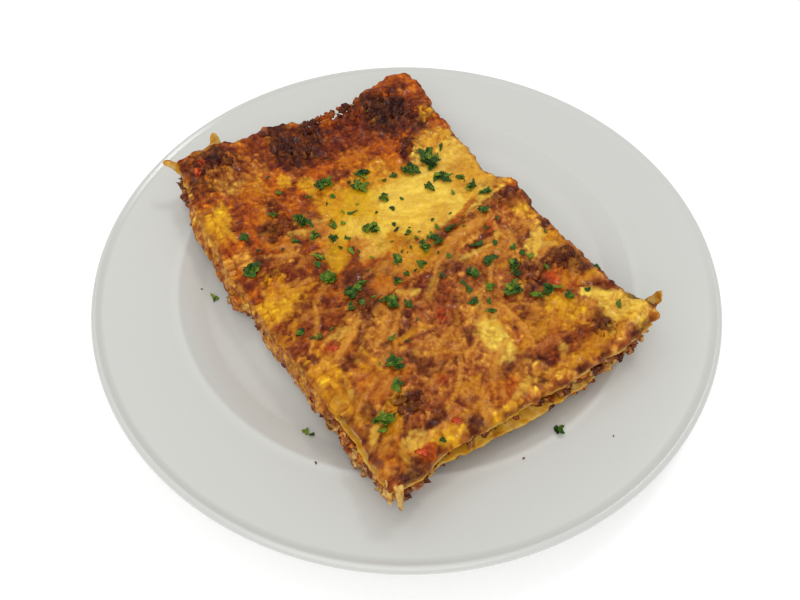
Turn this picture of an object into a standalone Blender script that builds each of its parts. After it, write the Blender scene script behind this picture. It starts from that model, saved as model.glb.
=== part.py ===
"""A slice of lasagne on its dinner plate.

Everything is in metres with +Z up. The plate's axis is the Z axis and its foot stands on z = 0. The slice
has axes of its own: a runs along its short side and b along its long side, and b grows towards the end
that the oven browned most. The stack bends up where it passes over the plate's well onto the rim.
"""

import math
import random

import bmesh
import bpy
from mathutils import Vector, noise
from mathutils.bvhtree import BVHTree

# Plate
PLATE_RADIUS = 0.135
LIP_HEIGHT = 0.0225
LIP_RADIUS = 0.0019
RIDGE_RADIUS = 0.1018
RIDGE_HEIGHT = 0.0152
WALL_FOOT_RADIUS = 0.086
WELL_HEIGHT = 0.0065
RIM_THICKNESS = 0.0040
FLOOR_THICKNESS = 0.0048
FOOT_OUTER_RADIUS = 0.0790
FOOT_WIDTH = 0.0042
PLATE_STEPS = 48

# Slice: its place on the plate, half sizes and turn
SLICE_X = -0.0041
SLICE_Y = -0.0058
SLICE_TURN = math.radians(33.2)
HALF_A = 0.0610
HALF_B = 0.0895
GAP = 0.0003

# The bend of the stack: level over the well, rising from BEND_RADIUS, flatter again past the plate's ridge
BEND_RADIUS = 0.0760
BEND_SLOPE = 0.36
BEND_SOFTNESS = 0.0026
DROOP_RADIUS = 0.1040
DROOP_SLOPE = 0.12
DROOP_SOFTNESS = 0.0005

# Layers under the crust, from the plate up: name, thickness, how far the sides are pulled in, height and size
# of the sides' unevenness and its seed, share of the left flare, and bulges as side, place, width and reach
STACK = (
    ("pasta_sheet_1", 0.0018, 0.0035, 0.0016, 0.018, 1.5, 0.8, (("front", 0.006, 0.038, 0.0030),)),
    ("ragu_1", 0.0039, 0.0020, 0.0022, 0.012, 2.5, 1.0,
     (("left", 0.022, 0.006, 0.0020), ("front", 0.004, 0.038, 0.0020), ("front", -0.061, 0.010, -0.0010))),
    ("pasta_sheet_2", 0.0018, -0.0006, 0.0018, 0.020, 3.5, 0.9,
     (("front", 0.006, 0.036, 0.0026), ("front", 0.060, 0.012, -0.0015), ("front", -0.061, 0.010, -0.0010))),
    ("ragu_2", 0.0033, 0.0010, 0.0022, 0.012, 4.5, 0.7, (("front", -0.018, 0.028, -0.0035),)),
    ("pasta_sheet_3", 0.0018, -0.0002, 0.0014, 0.022, 5.5, 0.5, ()),
    ("bechamel", 0.0015, 0.0008, 0.0014, 0.016, 6.5, 0.25, ()),
)
CRUST_THICKNESS = 0.0048
CRUST_SIDES = (0.0010, 0.010, 7.5)
CRUST_EDGE_DROP = 0.0014
CELLS_A = 10
CELLS_B = 14
CRUST_CUTS = 3

# Toppings
LEAF_THICKNESS = 0.0005
LEAF_CLEARANCE = 0.00045
LEAF_POINTS = 10
LEAF_NOTCH = 0.58
LEAF_WAVE = 0.0004
LEAF_MIDDLE_LIFT = 0.0002
LEAF_REACH = 0.0013
FLAKE_THICKNESS = 0.0006
FLAKE_SINK = 0.0008
SHRED_WIDTH = 0.0030
SHRED_RISE = 0.0009
SHRED_SINK = 0.0012
SHRED_CELLS = 5

# Outline of the crust: how far each side lies outside the half size, by place along that side
FRONT_EDGE = ((-0.061, 0.0000), (-0.050, 0.0010), (-0.038, -0.0025), (-0.020, -0.0020), (0.0, -0.0010),
              (0.030, 0.0005), (0.048, 0.0010), (0.061, -0.0005))
BACK_EDGE = ((-0.061, 0.0025), (-0.050, 0.0050), (-0.040, 0.0058), (-0.028, 0.0036), (-0.015, 0.0065),
             (0.000, 0.0032), (0.010, -0.0020), (0.022, -0.0032), (0.030, -0.0015), (0.038, 0.0042), (0.061, 0.0055))
RIGHT_EDGE = ((-0.090, 0.0000), (-0.082, 0.0018), (-0.074, 0.0015), (-0.064, 0.0018), (-0.050, 0.0038),
              (-0.036, 0.0048), (-0.018, 0.0052), (-0.004, 0.0068), (0.006, 0.0088), (0.014, 0.0040),
              (0.020, 0.0015), (0.032, 0.0045), (0.060, 0.0050), (0.090, 0.0075))
LEFT_EDGE = ((-0.090, 0.0000), (-0.065, -0.0025), (-0.040, -0.0012), (-0.022, 0.0006), (-0.010, 0.0015),
             (0.020, 0.0030), (0.045, 0.0020), (0.070, 0.0010), (0.090, -0.0005))

# How far the lowest layers flare out beyond the crust on the left, by place along that side
LEFT_FLARE = ((-0.090, 0.0002), (-0.066, 0.0055), (-0.045, 0.0045), (-0.025, 0.0032), (-0.010, 0.0036),
              (0.004, 0.0030), (0.012, 0.0012), (0.019, 0.0052), (0.040, 0.0055), (0.062, 0.0065),
              (0.078, 0.0050), (0.090, 0.0036))

# Crust relief as soft mounds and dips: a, b, half widths along a and b, and height
CRUST_FORMS = (
    (0.018, 0.018, 0.030, 0.020, -0.0018),
    (-0.004, 0.008, 0.018, 0.016, -0.0010),
    (0.046, 0.030, 0.016, 0.020, -0.0012),
    (0.052, -0.047, 0.010, 0.012, 0.0014),
    (-0.020, -0.065, 0.016, 0.016, 0.0013),
    (-0.038, -0.020, 0.016, 0.018, 0.0012),
    (-0.036, 0.040, 0.009, 0.012, 0.0013),
    (-0.044, 0.055, 0.010, 0.010, 0.0010),
    (0.030, -0.030, 0.014, 0.016, 0.0010),
    (-0.030, -0.090, 0.012, 0.012, -0.0012),
    (0.060, -0.085, 0.012, 0.010, 0.0016),
    (0.012, -0.078, 0.012, 0.010, -0.0010),
    (0.010, 0.090, 0.060, 0.018, 0.0010),
)
STEP_HEIGHT = 0.0020
STEP_WIDTH = 0.0045
STEP_LINE = ((-0.061, -0.024), (-0.020, -0.020), (-0.002, -0.0175), (0.010, -0.013), (0.026, -0.006),
             (0.045, 0.003), (0.061, 0.007))
BUMP_SIZE = 0.0085
BUMP_HEIGHT = 0.0007
CRAG_SIZE = 0.0050
CRAG_RISE = 0.0013
CRAG_HEIGHT = 0.0020

# Browned mince that stands out of the crust: a, b and half widths
CRAGS = (
    (0.044, 0.078, 0.014, 0.012),
    (-0.010, 0.080, 0.014, 0.012),
    (-0.046, 0.084, 0.012, 0.009),
    (0.058, 0.064, 0.007, 0.006),
    (0.040, 0.052, 0.006, 0.007),
    (-0.038, 0.036, 0.006, 0.007),
    (-0.036, 0.052, 0.005, 0.007),
    (0.056, -0.046, 0.008, 0.009),
    (0.042, -0.080, 0.006, 0.006),
    (-0.036, -0.068, 0.006, 0.009),
    (-0.052, -0.090, 0.008, 0.006),
)

# Parsley leaves: a, b, half widths along a and b, and turn in degrees
LEAVES = (
    (0.0440, 0.0385, 0.0052, 0.0072, 10),
    (0.0430, 0.0265, 0.0032, 0.0044, -30),
    (0.0330, 0.0375, 0.0056, 0.0034, 15),
    (0.0270, -0.0455, 0.0052, 0.0040, 0),
    (0.0335, -0.0375, 0.0026, 0.0045, 25),
    (0.0060, 0.0410, 0.0044, 0.0040, 20),
    (0.0118, 0.0480, 0.0034, 0.0044, 35),
    (-0.0025, 0.0165, 0.0042, 0.0048, 30),
    (-0.0080, 0.0500, 0.0050, 0.0040, 20),
    (-0.0270, 0.0350, 0.0036, 0.0058, -15),
    (-0.0330, 0.0020, 0.0040, 0.0046, -20),
    (-0.0280, -0.0100, 0.0034, 0.0040, 10),
    (-0.0180, -0.0240, 0.0028, 0.0042, 15),
    (-0.0320, -0.0490, 0.0034, 0.0046, -20),
    (-0.0590, 0.0220, 0.0044, 0.0042, 10),
    (-0.0480, -0.0660, 0.0026, 0.0052, 40),
    (0.0170, -0.0040, 0.0026, 0.0054, 20),
    (0.0105, -0.0060, 0.0022, 0.0044, -5),
    (0.0175, -0.0300, 0.0024, 0.0048, -10),
    (0.0505, 0.0125, 0.0046, 0.0020, 5),
    (0.0345, 0.0240, 0.0024, 0.0040, -10),
    (0.0400, -0.0530, 0.0026, 0.0040, -40),
)

# Small chopped flakes that are fused to the crust: a, b and half width
FLAKES = (
    (0.0530, 0.0050, 0.0022), (0.0430, -0.0040, 0.0022), (0.0280, -0.0290, 0.0022), (0.0120, 0.0295, 0.0022),
    (-0.0270, 0.0250, 0.0022), (-0.0350, 0.0270, 0.0019), (0.0090, -0.0420, 0.0019),
    (0.0200, -0.0390, 0.0020), (0.0500, 0.0210, 0.0018), (0.0430, -0.0610, 0.0022),
    (-0.0310, 0.0140, 0.0020), (-0.0200, 0.0200, 0.0022), (-0.0370, 0.0440, 0.0018),
    (-0.0130, -0.0280, 0.0018), (-0.0100, -0.0160, 0.0018), (-0.0030, -0.0050, 0.0020),
    (0.0540, -0.0760, 0.0018), (0.0300, -0.0190, 0.0020), (0.0240, 0.0390, 0.0016),
    (-0.0380, -0.0570, 0.0019), (-0.0170, 0.0270, 0.0016), (0.0120, 0.0220, 0.0016),
)

# Bits of red pepper in the crust: a, b and half width
PEPPER_BITS = ((-0.0270, -0.0810, 0.0026), (-0.0440, -0.0840, 0.0028), (-0.0480, -0.0300, 0.0030))

# Melted shreds of cheese: the two ends as a, b, and the sideways bow of the middle
SHREDS = (
    (-0.005, -0.020, -0.030, -0.046, 0.003),
    (-0.014, -0.014, -0.034, -0.028, -0.002),
    (-0.030, -0.048, -0.056, -0.060, 0.003),
    (-0.006, -0.048, -0.026, -0.074, -0.004),
    (0.026, -0.012, 0.004, -0.022, 0.002),
    (0.012, -0.062, -0.010, -0.080, 0.003),
    (0.044, -0.022, 0.020, -0.040, 0.003),
    (0.030, -0.056, 0.004, -0.050, 0.004),
    (-0.044, -0.006, -0.056, -0.026, -0.002),
    (0.050, -0.010, 0.036, 0.000, 0.002),
)

# Thread of cheese over the front left corner, as stations of a, b and lift
DRIP = ((-0.0560, -0.0860, -0.0004), (-0.0578, -0.0895, -0.0006), (-0.0588, -0.0920, -0.0028),
        (-0.0594, -0.0938, -0.0060), (-0.0597, -0.0950, -0.0095))
DRIP_WIDTH = 0.0034
DRIP_RISE = 0.0004
DRIP_SINK = 0.0014

# Tips of pasta that stick out of the stack under the crust, as stations of a, b and lift
PASTA_TIPS = (
    ((0.0540, -0.0800, 0.0), (0.0638, -0.0812, 0.0), (0.0665, -0.0820, 0.0030), (0.0684, -0.0828, 0.0085)),
    ((-0.0400, 0.0840, 0.0), (-0.0405, 0.0968, 0.0), (-0.0398, 0.0993, 0.0030), (-0.0390, 0.1012, 0.0068)),
    ((-0.0540, 0.0800, 0.0), (-0.0590, 0.0860, 0.0), (-0.0625, 0.0905, 0.0), (-0.0655, 0.0930, 0.0028)),
)
TIP_WIDTH = 0.0052
TIP_THICKNESS = 0.0014
TIP_DROP = -0.0002


def material(name, colour, roughness, metallic=0.0):
    """Makes a Principled material."""
    made = bpy.data.materials.new(name)
    made.use_nodes = True
    shader = made.node_tree.nodes["Principled BSDF"]
    shader.inputs["Base Color"].default_value = (*colour, 1.0)
    shader.inputs["Roughness"].default_value = roughness
    shader.inputs["Metallic"].default_value = metallic
    return made


def new_object(name, mesh, finish, collection, smooth_angle=math.radians(40)):
    """Adds a mesh object with its material to a collection."""
    mesh.shade_smooth()
    mesh.set_sharp_from_angle(angle=smooth_angle)
    made = bpy.data.objects.new(name, mesh)
    made.data.materials.append(finish)
    collection.objects.link(made)
    return made


def between(stations, place):
    """Reads a value off an outline given as (place, value) stations, with soft curves between them."""
    if place <= stations[0][0]:
        return stations[0][1]
    for (p0, v0), (p1, v1) in zip(stations, stations[1:]):
        if place <= p1:
            share = (place - p0) / (p1 - p0)
            return v0 + (v1 - v0) * share * share * (3.0 - 2.0 * share)
    return stations[-1][1]


def soft_ramp(distance, slope, softness):
    """Rises at the slope where the distance is positive, and bends softly into level before that."""
    return softness * math.log1p(math.exp(slope * distance / softness))


def bend(x, y):
    """Height of the underside of the stack above z = 0."""
    radius = math.hypot(x, y)
    rise = soft_ramp(radius - BEND_RADIUS, BEND_SLOPE, BEND_SOFTNESS)
    droop = soft_ramp(radius - DROOP_RADIUS, DROOP_SLOPE, DROOP_SOFTNESS)
    return WELL_HEIGHT + GAP + rise - droop


def on_plate(a, b):
    """Turns a place in the slice's own axes into x and y."""
    c, s = math.cos(SLICE_TURN), math.sin(SLICE_TURN)
    return SLICE_X + a * c - b * s, SLICE_Y + a * s + b * c


def mound(a, b, form_a, form_b, half_a, half_b):
    """A soft bell, one at its middle."""
    return math.exp(-((a - form_a) / half_a) ** 2 - ((b - form_b) / half_b) ** 2)


def crag_share(a, b):
    """How much of the surface at a place is browned mince, from 0 to 1."""
    return min(1.0, sum(mound(a, b, *crag) for crag in CRAGS))


def relief(a, b):
    """Height of the crust's surface above its mean level."""
    height = sum(form[4] * mound(a, b, *form[:4]) for form in CRUST_FORMS)
    past_step = (between(STEP_LINE, a) - b) / STEP_WIDTH
    height += STEP_HEIGHT * (0.5 + 0.5 * math.tanh(past_step)) * math.exp(-max(0.0, past_step) / 6.0)
    height += BUMP_HEIGHT * noise.noise(Vector((a, b, 0.0)) / BUMP_SIZE)
    crag = noise.noise(Vector((a, b, 0.02)) / CRAG_SIZE)
    return height + crag_share(a, b) * (CRAG_RISE + CRAG_HEIGHT * crag)


def thicken(sheet):
    """Closes a flat sheet at height 0 into a solid whose top is at height 1."""
    made = bmesh.ops.extrude_face_region(sheet, geom=sheet.faces[:], use_keep_orig=True)
    top = [item for item in made["geom"] if isinstance(item, bmesh.types.BMVert)]
    bmesh.ops.translate(sheet, verts=top, vec=(0.0, 0.0, 1.0))
    return top


def finish_solid(name, solid, place, finish, collection):
    """Moves each point of a unit solid to its place, turns the faces outwards and makes the object."""
    for point in solid.verts:
        point.co = place(*point.co)
    bmesh.ops.triangulate(solid, faces=solid.faces[:])
    bmesh.ops.recalc_face_normals(solid, faces=solid.faces[:])
    mesh = bpy.data.meshes.new(name)
    solid.to_mesh(mesh)
    solid.free()
    return new_object(name, mesh, finish, collection)


def outline_point(s, t, trim, swell):
    """Maps the unit square to the slice: trim pulls every side in, and swell moves each side on its own."""
    a0, b0 = s * HALF_A, t * HALF_B
    side = between(RIGHT_EDGE if s > 0 else LEFT_EDGE, b0) - trim + swell("right" if s > 0 else "left", b0)
    end = between(BACK_EDGE if t > 0 else FRONT_EDGE, a0) - trim + swell("back" if t > 0 else "front", a0)
    return a0 + side * s * s * s, b0 + end * t * t * t


def layer(name, low, thickness, trim, swell, finish, collection, cuts=0, shape=None):
    """Makes one layer of the stack as a solid between two heights over the bent underside.

    The top may be cut finer and shaped, where shape gives what is added to the top's height at a, b, s, t.
    """
    sheet = bmesh.new()
    bmesh.ops.create_grid(sheet, x_segments=CELLS_A, y_segments=CELLS_B, size=1.0)
    bmesh.ops.triangulate(sheet, faces=sheet.faces[:], quad_method="FIXED")
    top = set(thicken(sheet))
    if cuts:
        edges = [edge for edge in sheet.edges if all(point in top for point in edge.verts)]
        bmesh.ops.subdivide_edges(sheet, edges=edges, cuts=cuts, use_grid_fill=True)

    def place(s, t, level):
        a, b = outline_point(s, t, trim, swell)
        x, y = on_plate(a, b)
        height = low + thickness * level
        if shape and level > 0.5:
            height += shape(a, b, s, t)
        return x, y, bend(x, y) + height

    return finish_solid(name, sheet, place, finish, collection)


def rough_sides(amount, size, seed, flare=0.0, bulges=()):
    """Gives a layer's sides an uneven outline: noise of a size, a share of the left flare, and bulges."""
    def swell(side, place):
        sides = {"left": 0.0, "right": 1.0, "front": 2.0, "back": 3.0}
        value = amount * noise.noise(Vector((place / size, sides[side], seed)))
        if side == "left":
            value += flare * between(LEFT_FLARE, place)
        for bulge_side, middle, width, reach in bulges:
            if bulge_side == side:
                value += reach * math.exp(-((place - middle) / width) ** 2)
        return value
    return swell


def crust_shape(a, b, s, t):
    """Relief of the crust, which rounds off towards its four sides."""
    edge = max(abs(s) ** 14, abs(t) ** 20)
    return relief(a, b) - CRUST_EDGE_DROP * edge


def plate_profile():
    """Outline of half the plate from the middle of its top, over the lip, to the middle of its underside."""
    lip_middle_r = PLATE_RADIUS - LIP_RADIUS
    lip_middle_z = LIP_HEIGHT - LIP_RADIUS
    rim_slope = (LIP_HEIGHT - RIDGE_HEIGHT) / (PLATE_RADIUS - RIDGE_RADIUS)
    under = WELL_HEIGHT - FLOOR_THICKNESS
    points = [(0.0, WELL_HEIGHT), (0.045, WELL_HEIGHT), (WALL_FOOT_RADIUS - 0.010, WELL_HEIGHT)]
    for share in (0.25, 0.5, 0.75, 1.0):
        radius = WALL_FOOT_RADIUS - 0.010 + share * 0.015
        points.append((radius, WELL_HEIGHT + 0.0030 * share * share))
    points.append((RIDGE_RADIUS - 0.0020, RIDGE_HEIGHT - 0.0008))
    points.append((RIDGE_RADIUS, RIDGE_HEIGHT))
    points.append((RIDGE_RADIUS + 0.0025, RIDGE_HEIGHT + 0.0003))
    points.append((0.120, RIDGE_HEIGHT + rim_slope * (0.120 - RIDGE_RADIUS) - 0.0003))
    for step in range(7):
        angle = math.radians(105 - 35 * step)
        points.append((lip_middle_r + LIP_RADIUS * math.cos(angle), lip_middle_z + LIP_RADIUS * math.sin(angle)))
    points.append((0.118, RIDGE_HEIGHT + rim_slope * (0.118 - RIDGE_RADIUS) - RIM_THICKNESS))
    points.append((RIDGE_RADIUS + 0.0020, RIDGE_HEIGHT - RIM_THICKNESS - 0.0006))
    points.append((WALL_FOOT_RADIUS + 0.0040, under + 0.0020))
    points.append((FOOT_OUTER_RADIUS + 0.0012, under))
    points.append((FOOT_OUTER_RADIUS, 0.0))
    points.append((FOOT_OUTER_RADIUS - FOOT_WIDTH, 0.0))
    points.append((FOOT_OUTER_RADIUS - FOOT_WIDTH - 0.0012, under))
    points.append((0.0, under))
    return points


def make_plate(finish, collection):
    """Turns the plate's profile round the Z axis."""
    points = plate_profile()
    mesh = bpy.data.meshes.new("plate")
    mesh.from_pydata([(r, 0.0, z) for r, z in points], [(i, i + 1) for i in range(len(points) - 1)], [])
    plate = bpy.data.objects.new("plate", mesh)
    collection.objects.link(plate)
    mesh.materials.append(finish)
    screw = plate.modifiers.new("turned", "SCREW")
    screw.steps = PLATE_STEPS
    screw.render_steps = PLATE_STEPS
    screw.use_merge_vertices = True
    screw.merge_threshold = 0.00005
    screw.use_smooth_shade = True
    return plate


def bowed_line(start, end, bow, cells):
    """Stations along a line between two places, whose middle bows sideways."""
    along = Vector(end) - Vector(start)
    across = Vector((-along.y, along.x)).normalized()
    stations = []
    for number in range(cells + 1):
        t = 2.0 * number / cells - 1.0
        middle = Vector(start) + along * (0.5 + 0.5 * t) + across * bow * (1.0 - t * t)
        stations.append((middle.x, middle.y, 0.0))
    return stations


def make_strip(name, stations, width, rise, sink, height_at, finish, collection):
    """Makes a strip along stations of a, b and lift: crowned above, sunk below and narrower at its ends.

    height_at gives the height that each station's lift is counted from.
    """
    cells = len(stations) - 1
    sheet = bmesh.new()
    bmesh.ops.create_grid(sheet, x_segments=2, y_segments=cells, size=1.0)
    thicken(sheet)
    along = Vector(stations[-1][:2]) - Vector(stations[0][:2])
    across = Vector((-along.y, along.x)).normalized()

    def place(s, t, level):
        a, b, lift = stations[round((0.5 + 0.5 * t) * cells)]
        side = across * s * 0.5 * width * (1.0 - 0.45 * t ** 4)
        crown = rise * (1.0 - 0.7 * s * s) * (1.0 - 0.6 * t ** 4)
        x, y = on_plate(a + side.x, b + side.y)
        return x, y, height_at(x, y) + lift + (crown if level > 0.5 else -sink)

    return finish_solid(name, sheet, place, finish, collection)


def parallel_to_bend(spot, ground):
    """Returns a height function that starts from the ground at a spot and runs on parallel to the bend."""
    x0, y0 = on_plate(*spot)
    offset = ground(x0, y0) - bend(x0, y0)
    return lambda x, y: bend(x, y) + offset


def make_chip(name, spot, half, sides, ground, rise, finish, collection):
    """Makes a small flat bit with an uneven outline, sunk into the crust."""
    sheet = bmesh.new()
    bmesh.ops.create_circle(sheet, cap_ends=True, cap_tris=True, segments=sides, radius=1.0)
    thicken(sheet)
    wobble = random.Random(name)
    reach = {}

    def place(s, t, level):
        angle = round(math.atan2(t, s), 4)
        if angle not in reach:
            reach[angle] = wobble.uniform(0.7, 1.15)
        a, b = spot[0] + s * half * reach[angle], spot[1] + t * half * reach[angle]
        x, y = on_plate(a, b)
        return x, y, ground(x, y) + (rise if level > 0.5 else -FLAKE_SINK)

    return finish_solid(name, sheet, place, finish, collection)


def make_leaf(name, leaf, ground, finish, collection):
    """Makes a parsley leaf: a thin lobed solid that waves just above what it lies on."""
    spot_a, spot_b, half_a, half_b, turn = leaf
    sheet = bmesh.new()
    bmesh.ops.create_circle(sheet, cap_ends=True, cap_tris=True, segments=LEAF_POINTS, radius=1.0)
    thicken(sheet)
    c, s0 = math.cos(math.radians(turn)), math.sin(math.radians(turn))
    step = 2.0 * math.pi / LEAF_POINTS

    def highest(x, y):
        ring = [(x, y)] + [(x + LEAF_REACH * math.cos(k), y + LEAF_REACH * math.sin(k)) for k in range(6)]
        return max(ground(*spot) for spot in ring)

    def place(s, t, level):
        radius = math.hypot(s, t)
        index = round(math.atan2(t, s) / step)
        reach = 1.0 if index % 2 else LEAF_NOTCH
        wave = LEAF_WAVE * (1 + math.cos(2.5 * index)) if radius > 0.5 else LEAF_MIDDLE_LIFT
        local_a, local_b = s * half_a * reach, t * half_b * reach
        x, y = on_plate(spot_a + local_a * c - local_b * s0, spot_b + local_a * s0 + local_b * c)
        return x, y, highest(x, y) + LEAF_CLEARANCE + wave + LEAF_THICKNESS * level

    return finish_solid(name, sheet, place, finish, collection)


def surface_of(target):
    """Returns a function that reads the top height of an object at x and y."""
    tree = BVHTree.FromPolygons([v.co for v in target.data.vertices], [p.vertices for p in target.data.polygons])

    def ground(x, y):
        hit = tree.ray_cast(Vector((x, y, 0.2)), Vector((0.0, 0.0, -1.0)))[0]
        return hit.z if hit else bend(x, y) + 0.015
    return ground


def fuse(target, toppings):
    """Joins a collection of small pieces to the target with one Boolean, then removes them."""
    union = target.modifiers.new("fused toppings", "BOOLEAN")
    union.operation = "UNION"
    union.operand_type = "COLLECTION"
    union.collection = toppings
    union.solver = "EXACT"
    shape = bpy.data.meshes.new_from_object(target.evaluated_get(bpy.context.evaluated_depsgraph_get()))
    target.modifiers.remove(union)
    target.data = shape
    for piece in list(toppings.objects):
        bpy.data.objects.remove(piece)


def main():
    """Builds the plate, the stack from the plate up, and the toppings."""
    for old in list(bpy.data.objects):
        bpy.data.objects.remove(old)
    slice_parts = bpy.data.collections.new("lasagne_slice")
    toppings = bpy.data.collections.new("toppings")
    bpy.context.scene.collection.children.link(slice_parts)
    bpy.context.scene.collection.children.link(toppings)

    porcelain = material("porcelain", (0.80, 0.80, 0.78), 0.12)
    pasta = material("pasta", (0.74, 0.52, 0.16), 0.45)
    ragu = material("ragu", (0.26, 0.11, 0.05), 0.55)
    cream = material("bechamel", (0.78, 0.62, 0.38), 0.40)
    crust = material("cheese_crust", (0.62, 0.32, 0.08), 0.40)
    parsley = material("parsley", (0.05, 0.16, 0.03), 0.55)

    make_plate(porcelain, slice_parts)

    finishes = {"pasta": pasta, "ragu": ragu, "bechamel": cream}
    layers, low = {}, 0.0
    for name, thickness, trim, amount, size, seed, flare, bulges in STACK:
        swell = rough_sides(amount, size, seed, flare, bulges)
        finish = finishes[name.split("_")[0]]
        layers[name] = layer(name, low, thickness, trim, swell, finish, slice_parts)
        low += thickness + GAP
    upper_sheet = layers["pasta_sheet_3"]
    ground = surface_of(upper_sheet)
    for number, stations in enumerate(PASTA_TIPS, 1):
        height_at = parallel_to_bend(stations[0][:2], ground)
        make_strip(f"tip_{number}", stations, TIP_WIDTH, TIP_DROP, TIP_THICKNESS, height_at, pasta, toppings)
    fuse(upper_sheet, toppings)
    top = layer("cheese_crust", low, CRUST_THICKNESS, 0.0, rough_sides(*CRUST_SIDES), crust, slice_parts,
                CRUST_CUTS, crust_shape)

    ground = surface_of(top)
    for number, (a0, b0, a1, b1, bow) in enumerate(SHREDS, 1):
        stations = bowed_line((a0, b0), (a1, b1), bow, SHRED_CELLS)
        make_strip(f"shred_{number}", stations, SHRED_WIDTH, SHRED_RISE, SHRED_SINK, ground, crust, toppings)
    height_at = parallel_to_bend(DRIP[0][:2], ground)
    make_strip("drip", DRIP, DRIP_WIDTH, DRIP_RISE, DRIP_SINK, height_at, crust, toppings)
    for number, (a, b, half) in enumerate(FLAKES, 1):
        make_chip(f"flake_{number}", (a, b), half, 6, ground, FLAKE_THICKNESS, crust, toppings)
    for number, (a, b, half) in enumerate(PEPPER_BITS, 1):
        make_chip(f"pepper_{number}", (a, b), half, 7, ground, 2.0 * FLAKE_THICKNESS, crust, toppings)
    fuse(top, toppings)

    bpy.data.collections.remove(toppings)
    ground = surface_of(top)
    for number, leaf in enumerate(LEAVES, 1):
        make_leaf(f"parsley_{number}", leaf, ground, parsley, slice_parts)


main()
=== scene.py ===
"""Looks of a baked lasagne slice on its dinner plate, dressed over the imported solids.

The slice has axes of its own: a runs along its short side and b along its long side, towards the end that
the oven browned most. Tables of places on the slice are in millimetres along a and b; all else is in metres.
"""

import logging
import math
from dataclasses import dataclass, field
from enum import Enum
from typing import Callable

import bpy
import numpy as np
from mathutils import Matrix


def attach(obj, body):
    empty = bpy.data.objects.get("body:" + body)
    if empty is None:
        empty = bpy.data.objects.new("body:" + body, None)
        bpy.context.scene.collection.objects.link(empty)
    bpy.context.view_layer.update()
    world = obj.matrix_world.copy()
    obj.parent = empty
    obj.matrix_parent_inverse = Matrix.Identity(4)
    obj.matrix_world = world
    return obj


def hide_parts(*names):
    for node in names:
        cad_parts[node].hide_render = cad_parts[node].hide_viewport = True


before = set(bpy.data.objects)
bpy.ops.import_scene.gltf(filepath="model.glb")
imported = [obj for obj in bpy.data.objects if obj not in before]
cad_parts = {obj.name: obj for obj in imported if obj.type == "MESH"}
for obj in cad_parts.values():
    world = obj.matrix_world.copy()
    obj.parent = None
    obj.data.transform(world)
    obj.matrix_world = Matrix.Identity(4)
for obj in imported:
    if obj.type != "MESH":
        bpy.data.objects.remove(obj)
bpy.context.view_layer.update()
LOG = logging.getLogger("lasagne")
MM = 0.001
Array = np.ndarray


class Tone(Enum):
    """Colours of the food and the plate as display values from 0 to 255."""

    CREAM = (252, 234, 148)
    PALE = (242, 214, 132)
    YELLOW = (226, 192, 16)
    LEMON = (228, 182, 52)
    GOLD = (216, 160, 42)
    AMBER = (198, 122, 24)
    ORANGE = (186, 98, 18)
    TAN = (214, 158, 92)
    ROSE = (174, 106, 74)
    RUSSET = (138, 66, 24)
    RUST = (120, 50, 16)
    MAUVE = (116, 60, 38)
    BARK = (98, 46, 24)
    UMBER = (84, 36, 18)
    CHAR = (62, 24, 12)
    RED = (184, 58, 18)
    GREIGE = (196, 150, 90)
    SHEET = (204, 150, 40)

    @property
    def linear(self) -> Array:
        """The colour in linear light."""
        return to_linear(self.value)


(CREAM, PALE, YELLOW, LEMON, GOLD, AMBER, ORANGE, TAN, ROSE, RUSSET, RUST, MAUVE, BARK, UMBER, CHAR, RED,
 GREIGE, SHEET) = Tone


def to_linear(display: tuple[float, float, float]) -> Array:
    """Turns display values from 0 to 255 into linear light from 0 to 1."""
    share = np.asarray(display, float) / 255.0
    return np.where(share <= 0.04045, share / 12.92, ((share + 0.055) / 1.055) ** 2.4)


def smooth(low: float, high: float, value: Array) -> Array:
    """Rises from 0 to 1 between low and high as 3x^2 - 2x^3, or falls where low is the larger."""
    share = np.clip((value - low) / (high - low), 0.0, 1.0)
    return share * share * (3.0 - 2.0 * share)


def browned(colour: Array, amount: Array) -> Array:
    """Bakes a colour: blue fades fastest, then green, then red, as exp(-amount k); below 0 it grows paler."""
    return colour * np.exp(-amount[:, None] * np.array([0.62, 1.0, 1.15]))


def scramble(cell: Array, salt: int, shift: int, factor: int) -> Array:
    """Turns each row of three whole numbers into 32 random bits."""
    mixed = (cell[:, 0] * 73856093) ^ (cell[:, 1] * 19349663) ^ (cell[:, 2] * 83492791) ^ salt
    return (mixed ^ (mixed >> shift)) * factor & 0xFFFFFFFF


def lattice_noise(points: Array, seed: int = 0) -> Array:
    """Gradient noise, from about -1 to 1.

    Each corner of the unit lattice has a random slope. A point blends the heights that the slopes of its
    eight corners give it, by the quintic 6x^5 - 15x^4 + 10x^3 along each axis.

    Args:
        points: places, one row each with three columns, in lattice units.
        seed: picks the slopes.

    Returns:
        One value for each row.
    """
    cell = np.floor(points).astype(np.int64)
    part = points - cell
    blend = part * part * part * (part * (part * 6.0 - 15.0) + 10.0)
    total = np.zeros(len(points))
    for corner in np.ndindex(2, 2, 2):
        offset = np.array(corner)
        mixed = scramble(cell + offset, seed * 2654435761, 13, 1274126177)
        turn = (mixed & 0xFFFF) * (2.0 * np.pi / 65536.0)
        lift = ((mixed >> 16) & 0xFFFF) / 32768.0 - 1.0
        flat = np.sqrt(np.clip(1.0 - lift * lift, 0.0, 1.0))
        away = part - offset
        slope = away[:, 0] * flat * np.cos(turn) + away[:, 1] * flat * np.sin(turn) + away[:, 2] * lift
        total += slope * np.prod(np.where(offset == 1, blend, 1.0 - blend), axis=1)
    return 1.6 * total


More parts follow.
